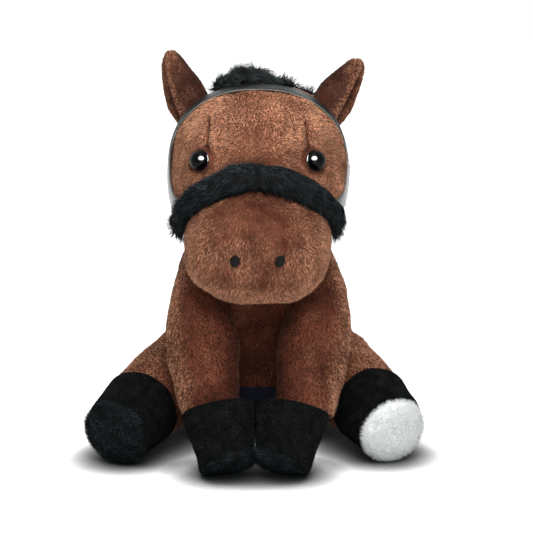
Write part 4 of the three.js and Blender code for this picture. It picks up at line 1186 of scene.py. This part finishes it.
def build_strap():
    line = STRAP_LINE[distance_to_line(STRAP_LINE, NOSEBAND_LINE) > STRAP_END_GAP]
    across = unit(np.cross(unit(np.gradient(line, axis=0)), on_surface(HEAD, line)[1]))
    angles = np.arange(STRAP_SECTION) * 2 * math.pi / STRAP_SECTION
    wide = np.sign(np.cos(angles)) * np.abs(np.cos(angles)) ** STRAP_SQUARENESS
    high = np.sign(np.sin(angles)) * np.abs(np.sin(angles)) ** EDGE_SQUARENESS
    spots = line[:, None] + (wide * STRAP_WIDTH / 2)[None, :, None] * across[:, None]
    feet, up = on_surface(HEAD, spots.reshape(-1, 3))
    lift = STRAP_LIFT + STRAP_THICKNESS / 2 + np.tile(high * STRAP_THICKNESS / 2, len(line))
    points = feet + lift[:, None] * up
    # it shines at the crown and where it turns to the cheeks
    out = np.abs(points[:, 0])
    crown = (0.3 + 0.5 * bell(out - 20, 5) * fade(points[:, 2], 150, 160)) * fade(out, 34, 26)
    cheeks = fade(points[:, 2], 146, 132)
    band = make_piece(
        "head_strap_band", points, flat_ended(len(line), STRAP_SECTION), strap_material(),
        edge=np.tile(fade(-wide, 0.86, 0.99), len(line)) * (1 - cheeks), polish=np.clip(crown + cheeks, 0, 1),
    )
    dress(band, "head", ["head_strap"])


# Eyes and nostrils
EYE_STEM, STEM_LENGTH, EYE_SEGMENTS = 1.7, 8.0, 72
THREADS, THREAD_STEPS, THREAD_RADIUS = 11, 13, 0.31


def lathe(profile, segments, foot, axis):
    across = unit(np.cross(axis, UPWARD))
    over = np.cross(axis, across)
    angles = np.arange(segments) * 2 * math.pi / segments
    around = np.cos(angles)[:, None] * across + np.sin(angles)[:, None] * over
    rings = [foot + height * axis + max(radius, 1e-3) * around for radius, height in profile]
    return np.vstack(rings), flat_ended(len(profile), segments)


def mottled_material(name, dark, light, look, patch_size, detail=3.0):
    material, nodes, shader = new_material(name, look)
    made = toned(nodes, shader, MOTTLED_TONE, dark, light, patch_size=patch_size, detail=detail)
    return material, nodes, shader, made


def eye_material():
    look = {"Roughness": 0.05, "Specular IOR Level": 0.07}
    blacks = (1, 1, 1), (4, 4, 4)
    material, nodes, shader, made = mottled_material("glossy eye", *blacks, look, patch_size=240.0)
    # painted reflection: the rim of the dome is a lighter grey
    wear_and_painted_reflection = nodes.mix(nodes.attribute("rim"), made["Color"], linear(34, 35, 35))
    nodes.feed(shader["Base Color"], wear_and_painted_reflection)
    nodes.feed(shader["Roughness"], nodes.ranged(made["Patches"], 0.3, 0.7, 0.04, 0.1))
    return material


def eye_profile():
    """Radius and height from the stem's foot over the flange to the top of the dome."""
    rim = EYE_RADIUS
    flange = [(0.25, -0.02), (0.05, 0.1), (0, 0.3), (0.08, 0.5), (0.3, 0.58), (0.42, 0.6)]
    dome = [
        ((rim - 0.45) * math.cos(t), 0.75 + (EYE_HEIGHT - 0.75) * math.sin(t))
        for t in np.linspace(0, math.pi / 2, 22)
    ]
    foot = -STEM_LENGTH
    stem = [(0, foot), (EYE_STEM - 0.2, foot), (EYE_STEM, foot + 0.2), (EYE_STEM, -0.1)]
    return [*stem, *((rim - inset, height) for inset, height in flange), *dome]


def build_eyes():
    look = eye_material()
    creams = (212, 208, 196), (226, 223, 212)
    plastic = mottled_material("washer plastic", *creams, {"Roughness": 0.45}, patch_size=300.0)[0]
    for name, (foot, axis) in EYES.items():
        points, faces = lathe(eye_profile(), EYE_SEGMENTS, foot, axis)
        heights = (points - foot) @ axis
        out = np.linalg.norm(points - foot - heights[:, None] * axis, axis=1)
        rim = ((out > EYE_RADIUS - 0.2) & (heights > 0.2)).astype(float)
        eye = make_piece(f"eye_{name}_dome", points, faces, look, rim=rim)
        dress(eye, "head", [f"eye_{name}"])
        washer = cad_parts[f"eye_washer_{name}"]
        washer.data.materials.clear()
        washer.data.materials.append(plastic)


def build_nostrils():
    """Satin stitch: threads side by side, each from one edge of the oval to the other."""
    shine = {"Roughness": 0.55, "Specular IOR Level": 0.08}
    blacks = (5, 5, 5), (14, 13, 13)
    look = mottled_material("nostril thread", *blacks, shine, patch_size=1800.0, detail=2.0)[0]
    along = np.linspace(-1, 1, THREAD_STEPS)
    bow = (0.35 + 0.65 * np.sqrt(np.clip(1 - along**2, 0, 1))) * 2 * THREAD_RADIUS
    sizes = np.full(THREAD_STEPS, THREAD_RADIUS)
    sizes[[0, -1]] = 0.18
    for name, middle in NOSTRILS.items():
        all_points, all_faces = [], []
        for k in range(THREADS):
            share = 2 * (k + 0.5) / THREADS - 1
            up = share * 0.88 * NOSTRIL_HEIGHT / 2
            half = 0.94 * NOSTRIL_WIDTH / 2 * math.sqrt(1 - (0.94 * share) ** 2)
            spots = np.array([middle + np.array((u * half, 0, up + 0.25 * u)) for u in along])
            feet, normal = on_surface(HEAD, spots)
            line = feet + bow[:, None] * normal
            ways = unit(np.gradient(line, axis=0))
            points, faces = tube(line, ways, sizes, 8, normal[THREAD_STEPS // 2])
            shift = sum(len(p) for p in all_points)
            all_points.append(points)
            all_faces += [tuple(i + shift for i in f) for f in faces]
        pad = make_piece(f"nostril_{name}_stitches", np.vstack(all_points), all_faces, look)
        dress(pad, "head", [f"nostril_{name}"])


# Ears, each a leaf folded lengthwise, with its crease on the inner side
EAR_LENGTH, EAR_THICKNESS, EAR_ROOT_SHARES = 30.0, 2.0, (0.78, -0.26, 0.66)
EAR_ROWS, EAR_COLUMNS, CREASE_ROUNDING = 56, 61, 0.22
# Each line runs from base to tip, in shares of the ear's length from its root on the head.
EARS = {
    "left": {
        "front": [(0.15, 0.183, -0.15), (0.277, 0.177, 0.133), (0.42, 0.133, 0.417), (0.533, 0.06, 0.643),
                  (0.543, -0.04, 0.803)],
        "crease": [(-0.15, -0.033, 0.2), (-0.01, -0.05, 0.4), (0.16, -0.067, 0.55), (0.325, -0.083, 0.68),
                   (0.455, -0.093, 0.785)],
        "rear": [(0.34, -0.183, -0.217), (0.5, -0.213, 0.217), (0.6, -0.213, 0.527), (0.62, -0.193, 0.703),
                 (0.567, -0.145, 0.803)],
    },
    "right": {
        "front": [(0.117, 0.183, -0.183), (0.227, 0.177, 0.1), (0.32, 0.133, 0.4), (0.387, 0.06, 0.7),
                  (0.373, -0.04, 0.937)],
        "crease": [(-0.24, -0.033, 0.15), (-0.1, -0.05, 0.43), (0.06, -0.067, 0.63), (0.19, -0.083, 0.8),
                   (0.31, -0.093, 0.918)],
        "rear": [(0.3, -0.183, -0.217), (0.407, -0.213, 0.15), (0.46, -0.213, 0.483), (0.463, -0.193, 0.75),
                 (0.397, -0.145, 0.93)],
    },
}


def ear_grid(side, leaf, across):
    """The middle of the folded leaf: rows from base to tip, columns from edge to edge."""
    out, forward, up = EAR_ROOT_SHARES
    root = on_surface(HEAD, by_shares(CRANIUM, (side * out, forward, up)))[0][0]
    front, crease, rear = (
        curve_through([root + EAR_LENGTH * place(side * o, f, u) for o, f, u in leaf[key]], EAR_ROWS - 1)
        for key in ("front", "crease", "rear")
    )
    rounding = CREASE_ROUNDING
    spread = (np.sqrt(across**2 + rounding**2) - rounding) / (math.sqrt(1 + rounding**2) - rounding)
    to_front, to_back = ((spread - across) / 2)[None, :, None], ((spread + across) / 2)[None, :, None]
    grid = crease[:, None] + to_front * (front - crease)[:, None] + to_back * (rear - crease)[:, None]
    normal = unit(np.cross(np.gradient(grid, axis=0), np.gradient(grid, axis=1)))
    # the outside of the fold looks towards the middle of the head
    if normal[EAR_ROWS // 2, EAR_COLUMNS // 2] @ np.array((-side, 0, 0)) < 0:
        normal = -normal
    bulge = np.sin(math.pi * np.abs(across))[None, :] * np.linspace(1.2, 0.3, EAR_ROWS)[:, None]
    return grid + bulge[..., None] * normal, normal


def both_layers(shares):
    """A value of the leaf at the points of its two layers."""
    return np.tile(np.broadcast_to(shares, (EAR_ROWS, EAR_COLUMNS)).ravel(), 2)


def build_ear(name, side, leaf):
    body = f"ear_{name}"
    across = np.linspace(-1, 1, EAR_COLUMNS)
    grid, normal = ear_grid(side, leaf, across)
    edge, tip = np.abs(across)[None, :], np.linspace(0, 1, EAR_ROWS)[:, None]
    round_off = np.sqrt(np.clip(1 - np.maximum(edge**14, tip**24) * 0.9, 0.05, 1))
    middle = grid + EAR_THICKNESS / 2 * normal
    half = (EAR_THICKNESS / 2 * round_off)[..., None] * normal
    points = np.vstack([(middle - half).reshape(-1, 3), (middle + half).reshape(-1, 3)])
    faces = sheet_faces(EAR_ROWS, EAR_COLUMNS)
    # the base is sewn down on the head
    height, fold = both_layers(tip), both_layers(edge)
    sewn = (1 - fade(height, 0.0, 0.3))[:, None] ** 2
    points = points * (1 - sewn) + on_surface(HEAD, points, lift=0.6)[0] * sewn
    points, hidden = keep_out(points, HEAD, gap=0.4)
    bare = hidden | (distance_to_line(points, STRAP_LINE) < STRAP_WIDTH / 2 + 0.4)
    # painted light towards the tip and along the edges, and painted shade along the crease inside the fold
    nap = 0.12 + 0.2 * waves(points, 7, 75 + side) + 0.2 * fade(height, 0.4, 1)
    nap += 0.7 * fade(np.maximum(height, fold), 0.8, 0.98) - 0.3 * (1 - fade(fold, 0.1, 0.5))
    outward = np.vstack([-normal.reshape(-1, 3), normal.reshape(-1, 3)])
    comb = along_surface(np.tile(np.gradient(grid, axis=0).reshape(-1, 3), (2, 1)), outward)
    cover = np.where(bare, 0.0, 1.0)
    ear = make_piece(f"{body}_leaf", points, faces, EAR_SKIN, cover=cover, comb=comb, nap=nap)
    dress(ear, body, [body])
    grow(f"{body}_pile", ear, body, "brown_plush", EAR_PILE, per_mm2=5.0, way=EAR_NAP, seed=71 + side)


# Mane and tail
FORELOCK_SHARES = [
    (0.56, 0.02, 0.86), (0.3, 0.02, 0.96), (0.04, 0.02, 1), (-0.25, 0.02, 0.98), (-0.42, 0.02, 0.92)
]
FORELOCK_RADII = [2.1, 3.5, 4.34, 7, 4.9]
CREST_SHARES = [(0, -0.32, 0.98), (0, -0.75, 0.68), (0, -1.04, 0.1), (0, -0.9, -0.5)]
CREST_RADII = [7, 7, 7, 3.5]
TAIL_UP, TAIL_RADIUS, TAIL_LENGTH = 32.0, 8.5, 30.0
HAIR_SIDES, HAIR_STEPS = 36, 60


def build_hair(name, node, body, route, radii, domes, inset, comb_way, hold, per_mm2, way, seed):
    """Long hair, and the closed form that it grows on."""
    line = curve_through(route, HAIR_STEPS)
    roll = domed(line, smooth_values(radii, len(line)) - inset, domes, steps=7, least=0.25)
    middle_way = unit(np.gradient(line, axis=0))[HAIR_STEPS // 2]
    reference = SIDEWAYS if abs(middle_way @ SIDEWAYS) < 0.7 else BACKWARD
    points, faces, outward, cover = soft_roll(roll, HAIR_SIDES, reference, (0.5, 8, seed), hold)
    comb = along_surface(comb_way(points) + 0.8 * wander(points, 9, seed + 1), outward)
    # painted light on the upper side of the hair
    nap = 0.3 + 0.25 * waves(points, 6, seed + 5) + 0.3 * fade(outward[:, 2], 0, 0.9)
    core = make_piece(f"{name}_root", points, faces, BLACK_SKIN, cover=cover, comb=comb, nap=nap)
    dress(core, body, [node])
    grow(f"{name}_hair", core, body, "long_pile", LONG_HAIR, per_mm2, way, seed)


def build_mane():
    def hold(points):
        return keep_out(points, HEAD, gap=0.4)

    def forward(points):
        return everywhere((0.0, -0.5, 0.1), points)

    def down_both_sides(points):
        return np.stack([np.sign(points[:, 0]) * 0.7, np.zeros(len(points)), -np.ones(len(points))], axis=1)

    route = on_surface(HEAD, by_shares(CRANIUM, FORELOCK_SHARES), lift=1.5)[0]
    build_hair(
        "forelock", "mane_forelock", "head", route, FORELOCK_RADII, domes=[1.6, 2.3], inset=2.4,
        comb_way=forward, hold=hold, per_mm2=5.0, way=FORELOCK_HAIR, seed=81,
    )
    route = on_surface(HEAD, by_shares(CRANIUM, CREST_SHARES), lift=3.0)[0]
    build_hair(
        "crest", "mane_crest", "head", route, CREST_RADII, domes=[3.5, 1.8], inset=2.6,
        comb_way=down_both_sides, hold=hold, per_mm2=3.4, way=CREST_HAIR, seed=86,
    )


def build_tail():
    root = leave(BODY, np.array([[0.0, 0.0, TAIL_UP]]), np.array([[0.0, 1.0, 0.0]]))[0]
    ground = TAIL_RADIUS + CLEARANCE
    drops = [(0, 0), (0.3, (TAIL_UP + ground) / 2 - TAIL_UP), (0.65, ground - TAIL_UP)]
    drops.append((1, TAIL_RADIUS / 2 + CLEARANCE - TAIL_UP))
    route = np.array([root + np.array((0, share * TAIL_LENGTH, drop)) for share, drop in drops])
    radii = [0.6 * TAIL_RADIUS, TAIL_RADIUS, TAIL_RADIUS, TAIL_RADIUS / 2]

    def hold(points):
        points, hidden = keep_out(points, BODY, gap=0.5)
        return above_floor(points), hidden | (points[:, 2] < BARE_BELOW["tail"])

    def back_and_down(points):
        return everywhere((0.0, 0.8, -1.0), points)

    build_hair(
        "tail", "tail", "tail", route, radii, domes=[2.5, 4.25], inset=2.8,
        comb_way=back_and_down, hold=hold, per_mm2=2.6, way=TAIL_HAIR, seed=91,
    )


# Saddle cloth and girth
GIRTH_TILT_DEG, GIRTH_WIDTH, GIRTH_THICKNESS = 39.0, 6.5, 1.1
CLOTH_LENGTH, CLOTH_SPREAD, CLOTH_RISE, CLOTH_THICKNESS = 34.0, 0.34, 1.14, 0.9


def band_grid(start, end, steps, width, columns):
    """A band round the body, from one share of a turn to another, where 0 is the top of the back."""
    tilt = math.radians(GIRTH_TILT_DEG)
    along_back = np.array((0, -math.sin(tilt), math.cos(tilt)))
    back_up = np.array((0, math.cos(tilt), math.sin(tilt)))
    turns = 2 * math.pi * np.linspace(start, end, steps + 1)
    spots = BODY["heart"] + np.sin(turns)[:, None] * SIDEWAYS + np.cos(turns)[:, None] * back_up
    middles = on_surface(BODY, spots)[0]
    shifts = width * (np.arange(columns + 1) / columns - 0.5)
    places = middles[:, None] + shifts[None, :, None] * along_back
    feet, normal = on_surface(BODY, places.reshape(-1, 3), CLOTH_RISE)
    return feet.reshape(places.shape), normal.reshape(places.shape)


def cloth_piece(name, start, end, steps, width, columns, thickness, look):
    """A woven band with its own UV map, and its length."""
    grid, normal = band_grid(start, end, steps, width, columns)
    points = np.vstack([grid.reshape(-1, 3), (grid + thickness * normal).reshape(-1, 3)])
    points = above_floor(keep_out(points, HEAD, gap=0.5)[0])
    piece = make_piece(name, points, sheet_faces(steps + 1, columns + 1), look)
    run = np.concatenate([[0], np.cumsum(np.linalg.norm(np.diff(grid[:, columns // 2], axis=0), axis=1))])
    across = np.broadcast_to(np.linspace(0, width, columns + 1), grid.shape[:2])
    flat = np.stack([across, np.broadcast_to(run[:, None], grid.shape[:2])], axis=-1).reshape(-1, 2)
    flat = np.vstack([flat, flat])
    loops = np.zeros(len(piece.data.loops), np.int32)
    piece.data.loops.foreach_get("vertex_index", loops)
    piece.data.uv_layers.new(name="cloth").data.foreach_set("uv", flat[loops].astype(np.float32).ravel())
    return piece, float(run[-1])


def woven_material(name, dark, light, specular, sheen):
    look = surface(0.75, specular, sheen, (150, 180, 225))
    return cloth_material(name, WOVEN_TONE, dark, light, 0.5, 0.2, look, thread_size=1.6, patch_size=90.0)


def build_cloth():
    blue = woven_material("blue woven cloth", (14, 34, 84), (44, 80, 152), 0.5, 0.12)
    # the girth is a darker copy of the blue cloth: painted shade under the belly
    blue_in_painted_shade = woven_material("navy girth cloth", (4, 5, 9), (11, 15, 30), 0.12, 0.02)
    half = CLOTH_SPREAD / 2
    cloth, length = cloth_piece(
        "saddle_cloth_sheet", -half, half, steps=120, width=CLOTH_LENGTH, columns=44,
        thickness=CLOTH_THICKNESS, look=blue,
    )
    dress(cloth, "torso", ["saddle_cloth"])
    start = half + 0.001
    girth, _ = cloth_piece(
        "girth_band", start, 1 - start, steps=200, width=GIRTH_WIDTH, columns=8,
        thickness=GIRTH_THICKNESS, look=blue_in_painted_shade,
    )
    dress(girth, "torso", ["girth"])


# Floor and light
FLOOR_SIZE = 12
# the reach and steepness of the painted contact shadow on the floor
PAINTED_SHADOW_REACH, PAINTED_SHADOW_POWER = 0.02, 4.0
SHADE_FROM, SHADE_TO, SHADE_LEVEL, WORLD_LEVEL = 0.12, 0.4, 0.75, 0.4
AIM = (0, -0.03, 0.09)
# Each lamp has its place, its width and height, and its watts.
LAMPS = {
    "softbox_above": ((-0.05, -0.42, 1.05), (0.8, 0.8), 4.4),
    "small_softbox": ((0.0, -0.85, 0.88), (0.34, 0.2), 6.0),
    "front_fill": ((0.2, -1.25, 0.45), (0.9, 0.9), 10.5),
    "eye_light": ((0.0, -0.85, 0.74), (1.3, 0.75), 480.0),
}


def seen_directly(nodes):
    """1 for the camera, for reflections and through glass, and 0 for the light that a surface sheds."""
    path = nodes.add("ShaderNodeLightPath").outputs
    seen = nodes.math("MAXIMUM", path["Is Camera Ray"], path["Is Glossy Ray"])
    return nodes.math("MAXIMUM", seen, path["Is Transmission Ray"])


def floor_material():
    """White for the eye, with a painted contact shadow that is darkest where the horse touches it."""
    look = {"Roughness": 0.9, "Specular IOR Level": 0.1, "Emission Color": (1, 1, 1, 1)}
    material, nodes, shader = new_material("pale floor", look)
    far = nodes.vector("LENGTH", {0: nodes.on_object()}, "Value")
    glow = nodes.ranged(far, SHADE_FROM, SHADE_TO, SHADE_LEVEL)
    strength = nodes.math("MULTIPLY", seen_directly(nodes), glow)
    # painted contact shadow: ambient occlusion darkens the floor's colour and glow near the horse
    near = nodes.add("ShaderNodeAmbientOcclusion", {"Distance": PAINTED_SHADOW_REACH}, samples=8)
    clear_of_painted_shadow = nodes.math("POWER", near.outputs["AO"], PAINTED_SHADOW_POWER)
    nodes.feed(shader["Emission Strength"], nodes.math("MULTIPLY", strength, clear_of_painted_shadow))
    nodes.feed(shader["Base Color"], nodes.mix(clear_of_painted_shadow, (0.02, 0.024, 0.023, 1), (0.88, 0.88, 0.88, 1)))
    return material


def add_lamp(name, position, size, watts):
    data = bpy.data.lights.new(name, "AREA")
    data.shape, data.energy = "RECTANGLE", watts
    data.size, data.size_y = size
    lamp = add_object(name, data)
    lamp.location = position
    lamp.rotation_mode = "QUATERNION"
    lamp.rotation_quaternion = (Vector(AIM) - Vector(position)).to_track_quat("-Z", "Y")
    return lamp


def build_stage():
    bpy.ops.mesh.primitive_plane_add(size=FLOOR_SIZE)
    floor = bpy.context.object
    floor.name = "floor"
    floor.data.materials.append(floor_material())

    world = bpy.data.worlds.new("studio")
    bpy.context.scene.world = world
    world.use_nodes = True
    nodes = Nodes(world.node_tree)
    background = world.node_tree.nodes["Background"].inputs
    background["Color"].default_value = (1, 1, 1, 1)
    nodes.feed(background["Strength"], nodes.ranged(seen_directly(nodes), 0.0, 1.0, WORLD_LEVEL))

    lamps = {name: add_lamp(name, *values) for name, values in LAMPS.items()}
    # the white highlight on the eyes comes from a lamp that shines on nothing else
    eye_light = lamps["eye_light"]
    eye_light.data.shape = "ELLIPSE"
    eye_light.visible_diffuse = False
    eye_light.light_linking.receiver_collection = bpy.data.collections.new("eye_light shines on")
    for name in EYES:
        eye_light.light_linking.receiver_collection.objects.link(bpy.data.objects[f"eye_{name}_dome"])
    bpy.context.scene.view_settings.view_transform = "Standard"


set_camera()
build_head()
build_body()
build_legs()
build_noseband()
build_strap()
build_eyes()
build_nostrils()
for ear_name, ear_side in SIDES.items():
    build_ear(ear_name, ear_side, EARS[ear_name])
build_mane()
build_tail()
build_cloth()
build_stage()
